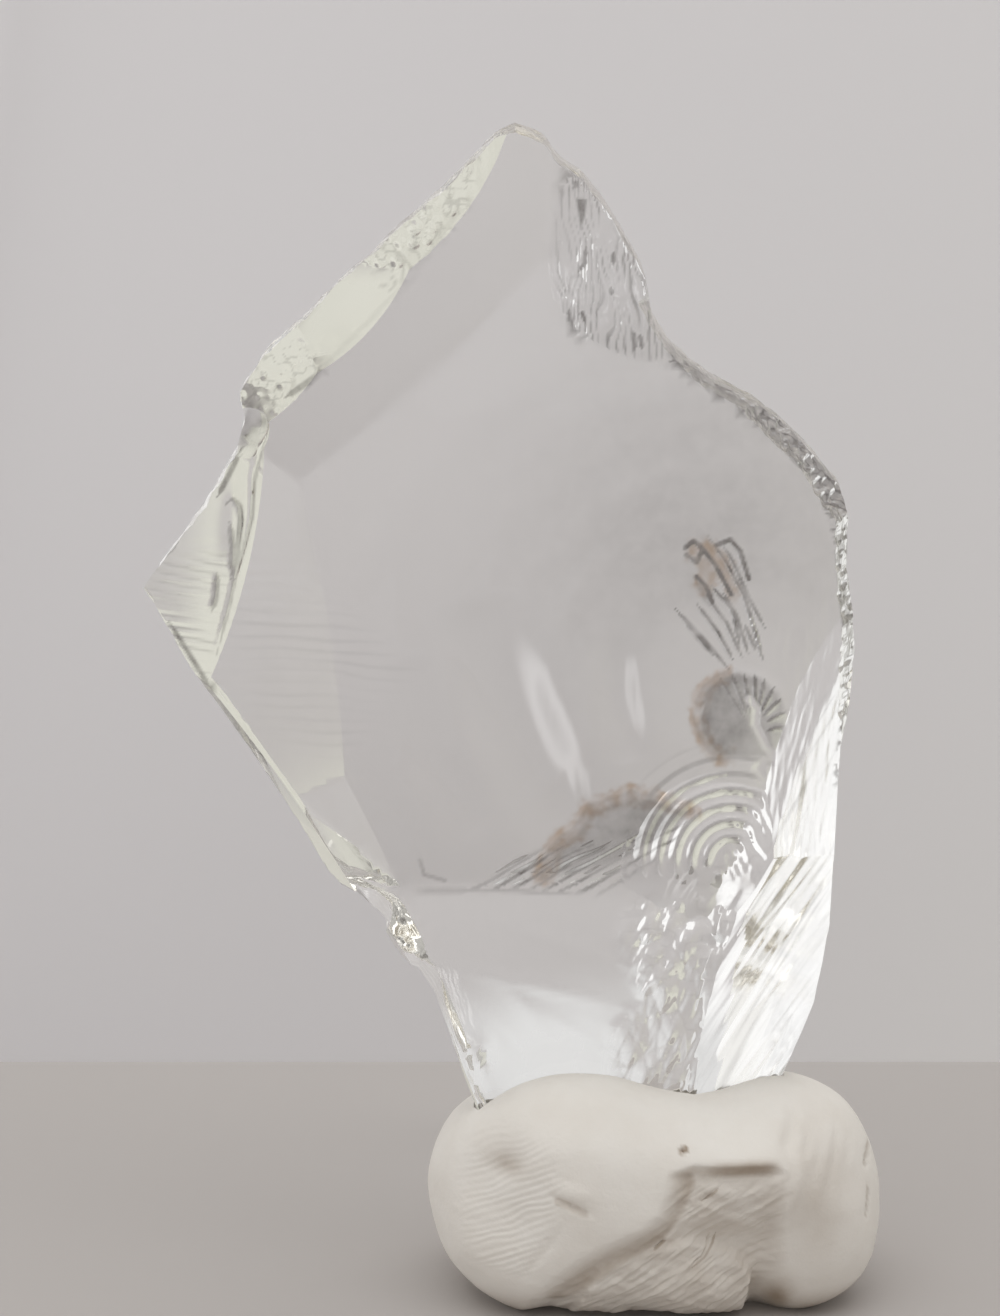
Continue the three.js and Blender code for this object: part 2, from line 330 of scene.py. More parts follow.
UPPER_LEFT_FOOT = within([
    (-28.0, 67.8), (-24.5, 68.4), (-22.6, 67.0), (-26.0, 63.9), (-28.6, 63.3),
], 0.3)
LEFT_NOTCH = within([
    (-27.8, 64.4), (-26.5, 63.5), (-26.7, 62.5), (-27.4, 61.2), (-28.6, 61.2), (-28.5, 62.6),
], 0.25)
RIGHT_EDGE = within([
    (7.8, 36.0), (8.2, 40.0), (9.6, 45.5), (12.3, 50.7), (15.0, 53.0), (15.0, 36.0),
], 0.8)
FISSURES = [
    [(1.4, 50.2), (3.5, 48.0), (5.2, 46.0)], [(2.0, 49.4), (4.1, 47.0)],
    [(2.9, 50.6), (4.4, 48.6), (5.5, 46.6)], [(3.5, 51.2), (5.0, 49.2), (6.1, 46.8)],
    [(3.9, 51.8), (5.4, 50.2), (5.9, 47.7)], [(4.7, 51.4), (5.7, 49.7), (6.5, 47.1)],
    [(3.7, 55.2), (4.9, 53.5), (6.2, 51.1), (7.1, 48.3), (7.6, 46.5)],
    [(4.5, 54.9), (5.4, 53.5), (6.6, 50.8), (7.7, 48.8)], [(6.2, 49.2), (7.0, 47.4)],
    [(6.6, 49.9), (7.4, 47.0)],
]
STAIN = within([
    (2.2, 54.9), (4.2, 54.9), (5.4, 53.4), (6.0, 51.2), (5.4, 50.6), (4.4, 52.0), (3.5, 51.0),
    (2.6, 51.6), (3.0, 53.0), (2.2, 53.6),
], 0.5)
STAIN_HEART = within([(2.7, 51.9), (3.3, 52.4), (4.2, 51.2), (3.9, 50.2), (3.2, 50.9)], 0.3)
STAIN_LINES = [
    [(2.1, 54.4), (2.7, 54.9), (3.3, 54.3), (2.9, 53.4), (2.2, 53.9)],
    [(3.1, 54.6), (4.2, 53.2), (5.3, 51.2)], [(4.3, 54.6), (5.2, 55.0), (5.9, 54.2), (6.5, 52.3)],
    [(2.9, 52.4), (3.6, 51.7), (4.0, 50.6)],
]
FAN = [
    [(4.6, 45.3), (6.3, 42.6)], [(5.4, 45.6), (6.5, 42.8)], [(6.2, 45.8), (6.7, 43.0)],
    [(7.0, 45.7), (7.0, 43.2)], [(7.7, 45.4), (7.2, 43.2)], [(8.3, 44.8), (7.4, 43.0)],
    [(8.8, 44.0), (7.6, 42.8)], [(9.1, 43.1), (7.8, 42.4)], [(9.0, 42.1), (7.9, 41.8)],
]
SQUIGGLES = [
    [(6.6, 43.9), (7.1, 43.3), (7.0, 42.2), (7.8, 40.6), (8.7, 39.6)],
    [(7.6, 39.7), (7.2, 39.1), (7.8, 38.2), (9.0, 39.4)],
]
LEDGE_LINE = [(-19.0, 30.9), (-15.0, 30.6), (-9.5, 30.5), (-5.5, 30.3)]
LEDGE_TICK = [(-16.2, 32.7), (-15.9, 31.7), (-14.5, 31.3)]
LEFT_RIDGE = [
    (-26.6, 62.4), (-27.0, 61.0), (-27.5, 59.1), (-27.7, 56.5), (-28.2, 54.7), (-28.9, 52.5),
    (-29.3, 50.5), (-30.2, 47.0),
]
UNDER_UPPER_LEFT = [(-25.4, 64.7), (-23.9, 65.75), (-22.5, 66.8)]
BESIDE_UPPER_LEFT = [(-22.6, 67.0), (-19.8, 69.8), (-16.7, 73.0), (-13.4, 77.6)]
LEFT_EDGES = [
    [(-28.5, 61.0), (-29.4, 59.1), (-30.2, 57.6)], [(-33.0, 54.3), (-34.3, 53.1), (-35.3, 51.6)],
    [(-33.7, 48.9), (-31.9, 46.5), (-30.4, 44.5)],
]
LEFT_LOOP = [
    [(-29.6, 57.2), (-29.1, 57.6), (-28.6, 57.1), (-28.5, 56.2), (-28.7, 54.7), (-28.9, 53.0),
     (-29.2, 52.1)],
    [(-29.3, 56.0), (-29.1, 54.3), (-29.2, 52.5)], [(-30.2, 52.5), (-30.3, 50.8), (-30.6, 49.9)],
]
SHOULDER = [
    (1.2, 67.4), (2.7, 66.0), (5.1, 64.9), (7.2, 63.2), (9.3, 61.4), (10.9, 59.8), (11.6, 57.6),
    (12.6, 54.5), (13.2, 50.0), (13.9, 46.0), (13.6, 42.0), (12.9, 38.0),
]
SHOULDER_SIDE = within([
    (0.9, 67.2), (4.9, 64.3), (8.9, 61.0), (11.1, 58.6), (12.3, 55.0), (12.8, 50.0), (13.3, 46),
    (13.0, 42), (12.4, 36), (20, 36), (20, 75), (1, 75),
], 0.15)
FINE_FRONT = within([
    (-20, 29), (-14, 34), (-8, 38), (0.5, 40), (0.5, 56), (9, 56), (14.5, 58), (14.5, 41),
    (9.5, 36), (3, 29),
], 0.5)

# Waves that are both cut and given painted shade, as turn, spacing, seed and how far they stray.
COMB_WAVE = (29, 0.66, 4)
STRIPES = (-5, 0.68, 9)
UPPER_RIGHT_WAVE = (97, 0.46, 15, 1.3)

ALL_FINER = [(everywhere, 1)]  # halves every cell of a cutter once

# Each break is one cutter whose near side is the fracture surface: its name, where the break began,
# the yaw and pitch of its outward normal from straight ahead, how far it reaches, the radius of its
# hollow, the size of its cells, the marks on it, and where its cells are halved and how many times.
BREAKS = [
    ("broad front face", (7.2, -4.5, 42.6), -3.8, 6, 62, 260, 0.55, [
        swelled([(-12.2, 50.5), (-11.5, 47.5), (-10.2, 43.5), (-8.0, 38.5), (-4.6, 34.0)], 4.4, 0.5),
        swelled([(-2.9, 48.5), (-2.6, 44.0), (-1.6, 39.5)], 2.2, 0.27),
        swelled([(-16.6, 46.5), (-15.4, 40.0), (-12.0, 34.4)], 2.6, 0.2),
        streaked(98, 0.5, 5, 0.006, spot((-5, 42), 7, 3), 19),
        ribbed(START, 5.5, 0.015, 14, 42, 120, 80, 4),
        waved((-4, 0.9, 3), 0.015, spot((-27, 48), 6, 3)),
        scooped(within(DISC_RIM, 0.7), (6.0, 39.9), 0.05, 90),
        scooped(PATCH, (-3.0, 31.4), 0.03, 100),
        waved(COMB_WAVE, 0.06, COMB),
        streaked(29, 0.3, 3, 0.04, COMB, 5),
        fissured(FAN, 0.16, 0.07),
        fissured(FISSURES, 0.13, 0.08),
        fissured(STAIN_LINES, 0.2, 0.1),
        swelled(SQUIGGLES[0], 0.5, 0.06),
        swelled(SQUIGGLES[1], 0.5, 0.06),
        streaked(84, 0.35, 2.4, 0.035, STREAKED, 6),
    ], [(FINE_FRONT, 2), (STRIATED, 2)]),
    ("lower front face", (-3.5, -4.78, 22.5), -1.7, -3.4, 36, 200, 0.45, [
        dented([(-8.3, 23.5, 5.5, 0.35, -14, 0.10), (-8.4, 21.2, 4.2, 0.3, -52, 0.09),
                (-9.8, 19.5, 4.5, 0.28, -48, 0.08), (-5.4, 20.0, 5.0, 0.3, -33, 0.07),
                (-6.2, 26.6, 4.5, 0.3, -20, 0.06), (-19.9, 31.0, 0.45, 1.5, 62, 0.35),
                (-17.3, 26.0, 0.4, 1.4, 50, 0.3), (-11.7, 18.6, 0.4, 1.1, 15, 0.35),
                (-12.6, 17.0, 0.35, 2.2, 12, 0.3)]),
        waved((29, 0.6, 8), 0.04, COMB),
        chipped(1.7, 3.2, 0.42, 0.12, CHIPS, 7, 2.2, 64, 1.0),
        chipped(0.9, 1.8, 0.20, 0.12, CHIPS, 8, 2.6, 96, 0.7),
        chipped(0.75, 1.5, 0.26, 0.12, UPPER_CHIPS, 10, 1.8, 66, 0.6, -0.2),
        chipped(1.1, 2.4, 0.30, 0.14, UPPER_CHIPS, 14, 1.6, 58, 0.45, -0.17),
        streaked(66, 0.4, 3, 0.05, CHIPS, 9),
    ], [(CHIPS, 2), (COMB, 1)]),
    ("sail at the lower right", (9.9, -2.5, 25.5), 25.2, -10, 26, 90, 0.28, [
        streaked(58, 0.45, 8, 0.018, strip([(8, 31), (11.5, 38)], 5, 3), 3),
        streaked(55, 0.8, 10, 0.03, everywhere, 4),
        streaked(52, 0.3, 6, 0.010, everywhere, 6),
        streaked(57, 0.5, 6, 0.035, spot((7.2, 25.4), 2.6, 1.4), 27),
    ], [(spot((8, 27), 13, 1), 1)]),
    ("bevel along the right edge", (12.5, -3.3, 45), 24.2, -9.4, 13.5, 43, 0.25, [
        streaked(74, 0.36, 2.6, 0.022, everywhere, 61),
        streaked(84, 0.22, 1.8, 0.012, everywhere, 62),
    ], ALL_FINER),
    ("left bevel", (-31.5, -1.57, 52.9), -29.6, 11.7, 18, 60, 0.3, [
        waved(STRIPES, 0.03, STRIPED),
        fissured([LEFT_RIDGE], 0.3, 0.10),
        fissured(LEFT_LOOP, 0.3, 0.08),
        dented([(-29.0, 55.8, 0.7, 2.6, -6, 0.16)]),
    ], [(spot((-30, 53), 9, 1), 1)]),
    ("lower left bevel", (-27.8, -2.4, 39.3), -60.9, -31.1, 16, 120, 0.4, [], []),
    ("neck bevel", (-15.2, -1.4, 19.3), -67.1, -22.9, 13, 60, 0.4, [], []),
    ("upper left scar", (-15.4, -0.75, 77), -37.8, 29, 12, 22, 0.28, [
        chipped(0.9, 0.9, 0.14, 0.25, UPPER_LEFT, 11),
        streaked(100, 0.5, 1.6, 0.02, everywhere, 12),
    ], ALL_FINER),
    ("middle left scar", (-21, -1.68, 69.7), -26.7, 26.3, 9, 22, 0.28, [
        streaked(42, 0.6, 4, 0.01, everywhere, 13),
    ], []),
    ("scar over the left notch", (-25.8, -1.1, 66.3), -28.9, 26.5, 8, 16, 0.28, [
        chipped(0.9, 0.9, 0.07, 0.12, everywhere, 13),
    ], ALL_FINER),
    ("left notch", (-26.9, -1.9, 63.1), -50, -12, 4, 1.6, 0.2, [], []),
    ("upper right scar", (1, -1.75, 74.5), -4, 0, 13, 26, 0.25, [
        waved(UPPER_RIGHT_WAVE, 0.04, everywhere),
        chipped(1.6, 3.0, 0.06, 0.06, spot((-4, 75.5), 4.5, 2), 16, 0.5, 100),
    ], ALL_FINER),
    ("shoulder scar 1", (3.2, 0.17, 66.1), 72.6, 50.5, 6, 14, 0.2, [
        chipped(0.65, 0.5, 0.16, 0.4, seed=21)], ALL_FINER),
    ("shoulder scar 2", (8.7, -0.22, 61.9), 67.3, 47.4, 6, 14, 0.2, [
        chipped(0.65, 0.5, 0.18, 0.4, seed=22)], ALL_FINER),
    ("shoulder scar 3", (12.1, -0.98, 57.9), 65.9, 36.5, 6, 14, 0.2, [
        chipped(0.7, 0.55, 0.2, 0.5, seed=23)], ALL_FINER),
    ("upper right edge", (13.5, -0.9, 52.9), 69.6, 4.4, 9, 30, 0.2, [
        chipped(0.6, 0.55, 0.14, 0.3, seed=24)], ALL_FINER),
    ("lower right edge", (13.7, -0.7, 43.7), 68.4, -0.3, 11, 30, 0.25, [
        chipped(0.7, 0.7, 0.14, 0.3, seed=25)], ALL_FINER),
    ("shell by the neck", (5.4, -4.5, 32.6), -6, 6, 12, 17.5, 0.3, [
        ribbed(SHELL, SHELL_SPACING, 0.13, SHELL_NEAR, 9, 125, 75, 0.8),
        streaked(60, 0.6, 2, 0.03, everywhere, 41),
        streaked(116, 0.55, 2.2, 0.09, BESIDE_COMB, 23),
        swelled([(6.5, 35.2), (7.0, 33.6), (7.9, 32.4)], 0.35, 0.12),
    ], [(spot((4.5, 35.5), 5.5, 1), 1)]),
    ("broad back face", (-8, 4.4, 56), 178, -1, 66, 300, 0.8, [], []),
    ("neck back", (-3.5, 4.53, 22.5), 179.3, -3.8, 34, 200, 0.8, [], []),
    ("upper left back", (-19.6, 3.8, 69), -171.8, 10.1, 24, 160, 0.7, [], []),
    ("left back", (-28.8, 2.8, 50.1), -157.3, -5.1, 26, 120, 0.5, [
        waved((-4, 0.95, 52), 0.022, spot((-28.5, 49), 5.5, 4)),
    ], [(spot((-27, 48), 8, 1), 1)]),
    ("lower left back", (-26.4, 4.1, 38.2), -160, -12, 22, 120, 0.7, [], []),
    ("neck left back", (-15.0, 3.9, 20.6), -134, -20, 16, 80, 0.6, [], []),
    ("neck right back", (10.7, 0.9, 25.5), 147, -8.7, 20, 250, 0.4, [
        streaked(60, 0.9, 9, 0.01, everywhere, 55),
    ], []),
]

CAP = 70  # a cutter's far side, well clear of the blank
COARSE = 2.5  # the cells of a cutter that only has to clear room for the foot
FEWEST_CELLS = 8  # across a cutter
START_RADIUS = 40  # of the circle whose points are moved to the outline
FLAKE_MIDDLE, FLAKE_RADIUS = (-10, 45), 32
FOOT_MIDDLE, FOOT_HALF_WIDTH = (-1.5, 15), 10
BLANK_HALF_DEPTH = 16
MID_BAND = 14  # the middle of the blank's side, front to back, which has fine rows
ROW = 0.5  # the depth of one of them, and the step along the outline
COARSE_STEP = 1.5  # the step along the outline where only room for the foot is cleared
CRUMBLED = 6.6  # how far to the front and back of the middle the edge is crumbled
CRUMBS_GROW = (40, 60)  # the heights from and to which its crumbs grow deeper

# ---- steps by hand -------------------------------------------------------------------------------


def clear_selection():
    """Leaves object mode with nothing selected."""
    if bpy.context.mode != "OBJECT":
        bpy.ops.object.mode_set(mode="OBJECT")
    bpy.ops.object.select_all(action="DESELECT")


def choose(piece):
    """Selects one piece alone and makes it active."""
    clear_selection()
    piece.select_set(True)
    bpy.context.view_layer.objects.active = piece


def points_of(piece):
    """The places of a piece's points, one row each."""
    co = np.empty(len(piece.data.vertices) * 3, np.float32)
    piece.data.vertices.foreach_get("co", co)
    return co.reshape(-1, 3).astype(float)


def move_points(piece, points):
    """Puts a piece's points in new places."""
    piece.data.vertices.foreach_set("co", points.astype(np.float32).ravel())
    piece.data.update()


def cut(piece, tool):
    """Takes the tool off the piece and removes the tool."""
    choose(piece)
    step = piece.modifiers.new("cut", "BOOLEAN")
    step.operation = "DIFFERENCE"
    step.solver = "MANIFOLD"
    step.object = tool
    bpy.ops.object.modifier_apply(modifier=step.name)
    bpy.data.objects.remove(tool)
    if not piece.data.polygons:
        raise RuntimeError("a cut left nothing of " + piece.name)


def settle(piece, name, material, node, sharp):
    """Brings a finished piece to metres at the origin, shades it and ties it to the frame."""
    choose(piece)
    piece.name = piece.data.name = name
    bpy.ops.transform.resize(value=(MM, MM, MM), center_override=(0, 0, 0))
    bpy.ops.object.transform_apply(location=True, rotation=True, scale=True)
    bpy.ops.object.shade_smooth_by_angle(angle=math.radians(sharp))
    piece.data.materials.clear()
    piece.data.materials.append(material)
    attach(piece, "root")
    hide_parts(node)
    return piece


def frame_of(yaw, pitch):
    """The directions across, up and out of a face, as the columns of a matrix."""
    a, e = math.radians(yaw), math.radians(pitch)
    out = Vector((math.sin(a) * math.cos(e), -math.cos(a) * math.cos(e), math.sin(e)))
    across = Vector((math.cos(a), math.sin(a), 0))
    return np.array([across, out.cross(across), out]).T


def refine(piece, wanted, halvings):
    """Halves a piece's cells whose centres are wanted."""
    for _ in range(halvings):
        centres = np.empty(len(piece.data.polygons) * 3, np.float32)
        piece.data.polygons.foreach_get("center", centres)
        chosen = wanted(centres.reshape(-1, 3))
        bpy.ops.object.mode_set(mode="EDIT")
        bpy.ops.mesh.select_mode(type="FACE")
        bpy.ops.mesh.select_all(action="DESELECT")
        bpy.ops.object.mode_set(mode="OBJECT")
        piece.data.polygons.foreach_set("select", chosen)
        bpy.ops.object.mode_set(mode="EDIT")
        bpy.ops.mesh.subdivide(number_cuts=1)
        bpy.ops.object.mode_set(mode="OBJECT")


def add_cutter(values, gap=0.0, relief=1.0):
    """A block whose near side is one fracture surface, or its plain form moved out by a gap."""
    name, at, yaw, pitch, reach, bowl, cell, marks, finer = values
    turned = frame_of(yaw, pitch)
    base = np.array(at) + turned[:, 2] * gap
    cells = max(FEWEST_CELLS, round(2 * reach / (COARSE if gap else cell)))
    clear_selection()
    bpy.ops.mesh.primitive_grid_add(x_subdivisions=cells, y_subdivisions=cells, size=2 * reach)
    cutter = bpy.context.object
    cutter.name = name
    if not gap:
        for window, halvings in finer:
            refine(cutter, lambda c: window(*(c @ turned.T + base).T[::2]) > FAINT, halvings)
    bpy.ops.object.mode_set(mode="EDIT")
    bpy.ops.mesh.select_mode(type="VERT")
    bpy.ops.mesh.select_all(action="SELECT")
    bpy.ops.mesh.region_to_loop()
    bpy.ops.mesh.extrude_edges_move(TRANSFORM_OT_translate={"value": (0, 0, CAP)})
    bpy.ops.mesh.edge_face_add()
    bpy.ops.mesh.select_all(action="SELECT")
    bpy.ops.mesh.normals_make_consistent(inside=False)
    bpy.ops.object.mode_set(mode="OBJECT")
    p = points_of(cutter)
    near = p[:, 2] < CAP / 2
    flat = p.copy()
    flat[:, 2] = 0
    seen = flat @ turned.T + base
    height = (p[:, 0] ** 2 + p[:, 1] ** 2) / (2 * bowl)
    if not gap:
        plain = height
        for mark in marks:
            height = mark(height, seen[:, 0], seen[:, 2])
        height = plain + relief * (height - plain)
    p[:, 2] = np.where(near, height, CAP)
    move_points(cutter, p @ turned.T + base)
    return cutter


# ---- the glass flake -----------------------------------------------------------------------------


def even_outline(step, grown=0.0):
    """The outline as points about one step apart, pushed out by a little where a gap is wanted."""
    ring = np.array(OUTLINE)
    if grown:
        middle = np.array(FOOT_MIDDLE)
        ring = middle + (ring - middle) * (1 + grown / FOOT_HALF_WIDTH)
    closed = np.vstack([ring, ring[:1]])
    lengths = np.hypot(*np.diff(closed, axis=0).T)
    along = np.concatenate([[0], np.cumsum(lengths)])
    count = round(along[-1] / step)
    where = np.arange(count) * along[-1] / count
    return np.column_stack([np.interp(where, along, closed[:, k]) for k in (0, 1)])


def add_blank(gap, crumb):
    """The unbroken blank: the outline carried through from front to back."""
    ring = even_outline(COARSE_STEP if gap else ROW, gap)
    clear_selection()
    bpy.ops.mesh.primitive_circle_add(vertices=len(ring), radius=START_RADIUS, fill_type="NGON")
    blank = bpy.context.object
    p = points_of(blank)
    order = np.argsort(-np.arctan2(p[:, 1], p[:, 0]))
    placed = np.zeros_like(p)
    placed[order, 0], placed[order, 2] = ring[:, 0], ring[:, 1]
    placed[:, 1] = -BLANK_HALF_DEPTH
    move_points(blank, placed)
    outer = BLANK_HALF_DEPTH - MID_BAND / 2
    middle = [MID_BAND] if gap else [ROW] * round(MID_BAND / ROW)
    bpy.ops.object.mode_set(mode="EDIT")
    bpy.ops.mesh.select_all(action="SELECT")
    for row in (outer, *middle, outer):
        bpy.ops.mesh.extrude_region_move(TRANSFORM_OT_translate={"value": (0, row, 0)})
    bpy.ops.mesh.select_all(action="SELECT")
    bpy.ops.mesh.normals_make_consistent(inside=False)
    bpy.ops.object.mode_set(mode="OBJECT")
    if crumb:
        crumble(blank, crumb)
    return blank


def crumble(blank, crumb):
    """Breaks crumbs out of the blank's edge, deeper towards its top."""
    p = points_of(blank)
    normal = np.array([v.normal for v in blank.data.vertices])
    normal[:, 1] = 0
    length = np.maximum(np.linalg.norm(normal, axis=1), 1e-6)
    around = np.arctan2(p[:, 2] - FLAKE_MIDDLE[1], p[:, 0] - FLAKE_MIDDLE[0]) * FLAKE_RADIUS
    inward = -chipped(1.2, 0.9, 0.36, 0.35, seed=61)(np.zeros(len(p)), around, p[:, 1])
    inside = np.abs(p[:, 1]) < CRUMBLED
    upper = ease(p[:, 2], *CRUMBS_GROW)
    p -= normal / length[:, None] * (inward * inside * crumb * (0.25 + 0.75 * upper))[:, None]
    move_points(blank, p)


def add_flake(gap=0.0, crumb=0.0, relief=1.0):
    """The blank, broken by each cutter in turn, or the plain form that the socket is cut with."""
    flake = add_blank(gap, crumb)
    for values in BREAKS:
        cut(flake, add_cutter(values, gap, relief))
    return flake


def paint(piece, name, mask):
    """Stores how strong an effect is at each point of a piece."""
    stored = piece.data.attributes.new(name, "FLOAT", "POINT")
    stored.data.foreach_set("value", mask.astype(np.float32))


def rims(x, z, disc_width, patch_width):
    """Along the left of the disc's rim and along the top of the patch."""
    disc = lined(x, z, [DISC_RIM + DISC_RIM[:1]], disc_width) * ease(6.2 - x, 0, 1.5)
    return np.maximum(disc, lined(x, z, [PATCH_TOP], patch_width))


def rust_at(x, z):
    """Rusty stain, fuzzy at its edges."""
    rust = np.maximum(0.8 * rims(x, z, 0.95, 1.1), 0.9 * STAIN(x, z))
    patchy = 0.75 + 0.5 * grain(x / 0.5, z / 0.5, 71)
    fuzzy = ease(rust + 0.35 * grain(x / 0.33, z / 0.33, 72), 0.1, 0.9)
    return 0.8 * fuzzy * (rust > FAINT) * patchy


# Dark lines of painted shade, as strength, lines, width and whether they taper to their ends.
DARK_LINES = [
    (0.95, STAIN_LINES, 0.28, False),
    (0.85, FAN, 0.25, True),
    (0.35, [LEDGE_LINE], 0.2, True),
    (0.45, [LEDGE_TICK], 0.2, False),
    (0.8, [UNDER_UPPER_LEFT], 0.3, True),
    (0.15, [BESIDE_UPPER_LEFT], 0.25, False),
    (0.9, LEFT_EDGES, 0.28, True),
    (0.7, LEFT_LOOP, 0.34, True),
    (0.55, [LEFT_RIDGE], 0.2, True),
    (0.85, UPPER_RIGHT_BITS, 0.24, True),
]


def painted_shade_at(x, z):
    """Painted shade in cracks and lines, between ribs and chips and over the disc and the patch, with
    the darker heart of the stain.
    """
    uneven = 0.65 + 0.35 * grain(x / 0.6, z / 0.6, 73)
    blotched = 0.65 + 0.35 * grain(x / 1.2, z / 2, 78)
    around, bearing = polar(x, z, SHELL)
    arcs = ease(-np.cos(2 * np.pi * (around - SHELL_NEAR) / SHELL_SPACING), 0.2, 0.9)
    shell = between(around, 1.6, 8.4, 0.6) * sector(bearing, 125, 70) * arcs
    cracks = [strength * lined(x, z, *how) for strength, *how in DARK_LINES]
    return np.maximum.reduce(cracks + [
        (0.4 + 0.6 * uneven) * lined(x, z, FISSURES, 0.22, True),
        0.75 * lined(x, z, [UPPER_RIGHT_RIM], 0.4) * uneven,
        0.32 * ease(streaks_at(x, z, 59, 0.32, 7, 4), 0.35, 0.9) * SAIL(x, z),
        0.13 * ease(wave_at(x, z, -4, 0.8, 3, 0.3), 0.1, 0.9) * STRIATED(x, z),
        0.5 * ease(wave_at(x, z, *STRIPES), 0.2, 0.9) * STRIPED(x, z),
        0.95 * ease(wave_at(x, z, *UPPER_RIGHT_WAVE), 0.1, 0.7) * UPPER_RIGHT(x, z) * blotched,
        0.95 * ease(wave_at(x, z, *COMB_WAVE), -0.1, 0.6) * COMB(x, z) * (0.5 + 0.5 * uneven),
        0.5 * shell,
        0.4 * curled(x, z, 0.55, 0.2, 74) * np.maximum(UPPER_LEFT(x, z), UPPER_LEFT_FOOT(x, z)),
        0.7 * curled(x, z, 0.5, 0.4, 75) * spot((-5.8, 79.6), 0.7, 0.3)(x, z),
        0.85 * curled(x, z, 0.45, 0.4, 77) * lined(x, z, [SHOULDER], 0.9) * SHOULDER_SIDE(x, z),
        0.14 * curled(x, z, 0.9, 0.16, 79) * CHIPS(x, z),
        0.4 * rims(x, z, 0.5, 0.5),
        0.6 * STAIN_HEART(x, z),
        0.75 * LEFT_NOTCH(x, z) * uneven,
        0.9 * UPPER_RIGHT_SHADE(x, z),
        0.16 * UPPER_RIGHT(x, z),
        within(DISC_RIM, 0.3)(x, z) * (0.72 - 0.22 * ease(x, 5.0, 7.5)),
        PATCH(x, z) * (0.56 + 0.2 * ease(x, -4.5, 1)),
    ])


def veil_at(x, z):
    """A darker veil over the middle of the face, in faint arcs round the start of the break."""
    r, turn = polar(x, z, START)
    arcs = 0.5 + 0.5 * np.cos(2 * np.pi * (r / 3.4 + 0.35 * grain(turn / 40, r / 9, 83)))
    veil = blot(x, z, (3.5, 55), 12, 13) * ease(r, 3, 12)
    return veil * (0.28 + 0.05 * arcs + 0.04 * grain(x / 3, z / 3, 84))


def paint_flake(flake):
    """Marks where the flake has rust stains, where it has painted shade and where it is matt."""
    x, y, z = points_of(flake).T
    front = ease(-y, -0.6, 0.4)
    paint(flake, "rust", np.clip(rust_at(x, z), 0, 1) * front)
    # Painted shade, kept off the squiggles, with the darker veil over the middle of the face.
    dark = np.maximum(painted_shade_at(x, z) * (1 - lined(x, z, SQUIGGLES, 0.4)), veil_at(x, z))
    # Painted shade on the crumbs of the right shoulder, seen from the side.
    crumbs = SHOULDER_SIDE(x, z) * ease(z, 42, 48) * ease(2.9 - y, 0, 0.6)
    edge = crumbs * (0.3 + 0.6 * curled(y, z, 0.5, 0.3, 80))
    paint(flake, "dark", np.clip(np.maximum(dark * front, edge), 0, 1))
    places = ((0.9, RIGHT_EDGE), (0.8, SHOULDER_SIDE), (0.5, SAIL), (0.35, CHIPS), (0.3, UPPER_RIGHT))
    matt = np.maximum.reduce([amount * window(x, z) for amount, window in places])
    paint(flake, "frost", matt * front)


# ---- the putty -----------------------------------------------------------------------------------

PUTTY_MIDDLE = (0.1, 0.3, 7.4)
PUTTY_FULLNESS = 2.35  # 2 would make it a plain ball, and more makes it squarer
PUTTY_CUTS = 72  # across each side of the block that the lump is made from
BASE_BLOCK = 60  # the block that cuts the lump flat
LUMP_FRONT, LUMP_BASE = -3, -0.5  # the front of the lump is before the one and above the other
UNEVEN = 2.6  # the width of the lump's low swells
# Where fingers pressed the lump: a point on it, the reach and the depth, negative where it swelled.
PRESSES = [
    ((-7, -6, 15.5), 7, -2.1), ((10.5, -2, 14), 5.5, -1.7), ((4.6, -6, 15), 4, 0.35),
    ((-1, 7, 16), 9, 3.6), ((-11, -9.5, 10), 4, 0.9), ((6.5, -12, 5), 4.6, 2.4),
    ((7, -11, 10.5), 3.6, -1.1), ((4.5, -11.5, 1.5), 3.4, -1.3), ((12, -5, 2.5), 5.5, -1.7),
    ((-9, -7, 1.5), 5, -0.8), ((-4.5, -6.5, 16), 5, -0.9), ((3.2, -6.5, 15.5), 3, -0.35),
]

# Places on the front of the lump, as (x, z), and on its right, as (y, z).
RIDGED = within([
    (-13.0, 13.0), (-10.4, 14.2), (-7.4, 13.6), (-6.4, 11.0), (-7.2, 8.2), (-8.8, 4.0),
    (-12.4, 4.6), (-13.5, 9.5),
], 0.9)
UNDER_LEDGE = within([
    (-12, 11.6), (1.8, 11.9), (2.8, 12.15), (4.6, 12.05), (6.7, 12.1), (8.4, 12.0), (10.2, 11.3),
    (14, 9.5), (14, -2), (-12, -2),
], 0.3)
HOLLOW = within([
    (1.9, 13), (8.6, 13), (9.3, 10), (9.2, 6), (8.6, -2), (-9.2, -2), (-8.0, 1.6), (-6.4, 3.7),
    (-4.5, 5.3), (-2.6, 6.4), (-0.6, 7.4), (0.9, 8.6), (1.5, 10.4),
], 1.0)
HOLLOW_SIDE = [(2.0, 11.0), (1.4, 9.4), (0.2, 7.6), (-1.8, 6.4), (-4.4, 4.6), (-6.6, 2.6)]
FLAP = within([
    (-4.0, 4.6), (-0.5, 6.2), (3.0, 6.6), (6.2, 5.2), (7.5, 3.2), (7.5, 1.6), (6.9, 0), (-6.0, 0),
], 0.45)
LEDGE = [(2.8, 11.8), (4.6, 11.85), (6.7, 11.9), (8.4, 11.8), (9.4, 11.5)]
CRACKS = [
    [(4.5, 10.6), (4.0, 10.1), (3.5, 9.8)], [(4.4, 7.0), (4.2, 6.2), (3.6, 5.3), (2.7, 4.7)],
    [(0.9, 6.9), (0.0, 6.2)],
]
SPECK = [(1.95, 13.2), (2.25, 13.35)]
DENT_SHADE = [(-6.6, 9.9), (-5.7, 9.6), (-4.8, 9.2)]
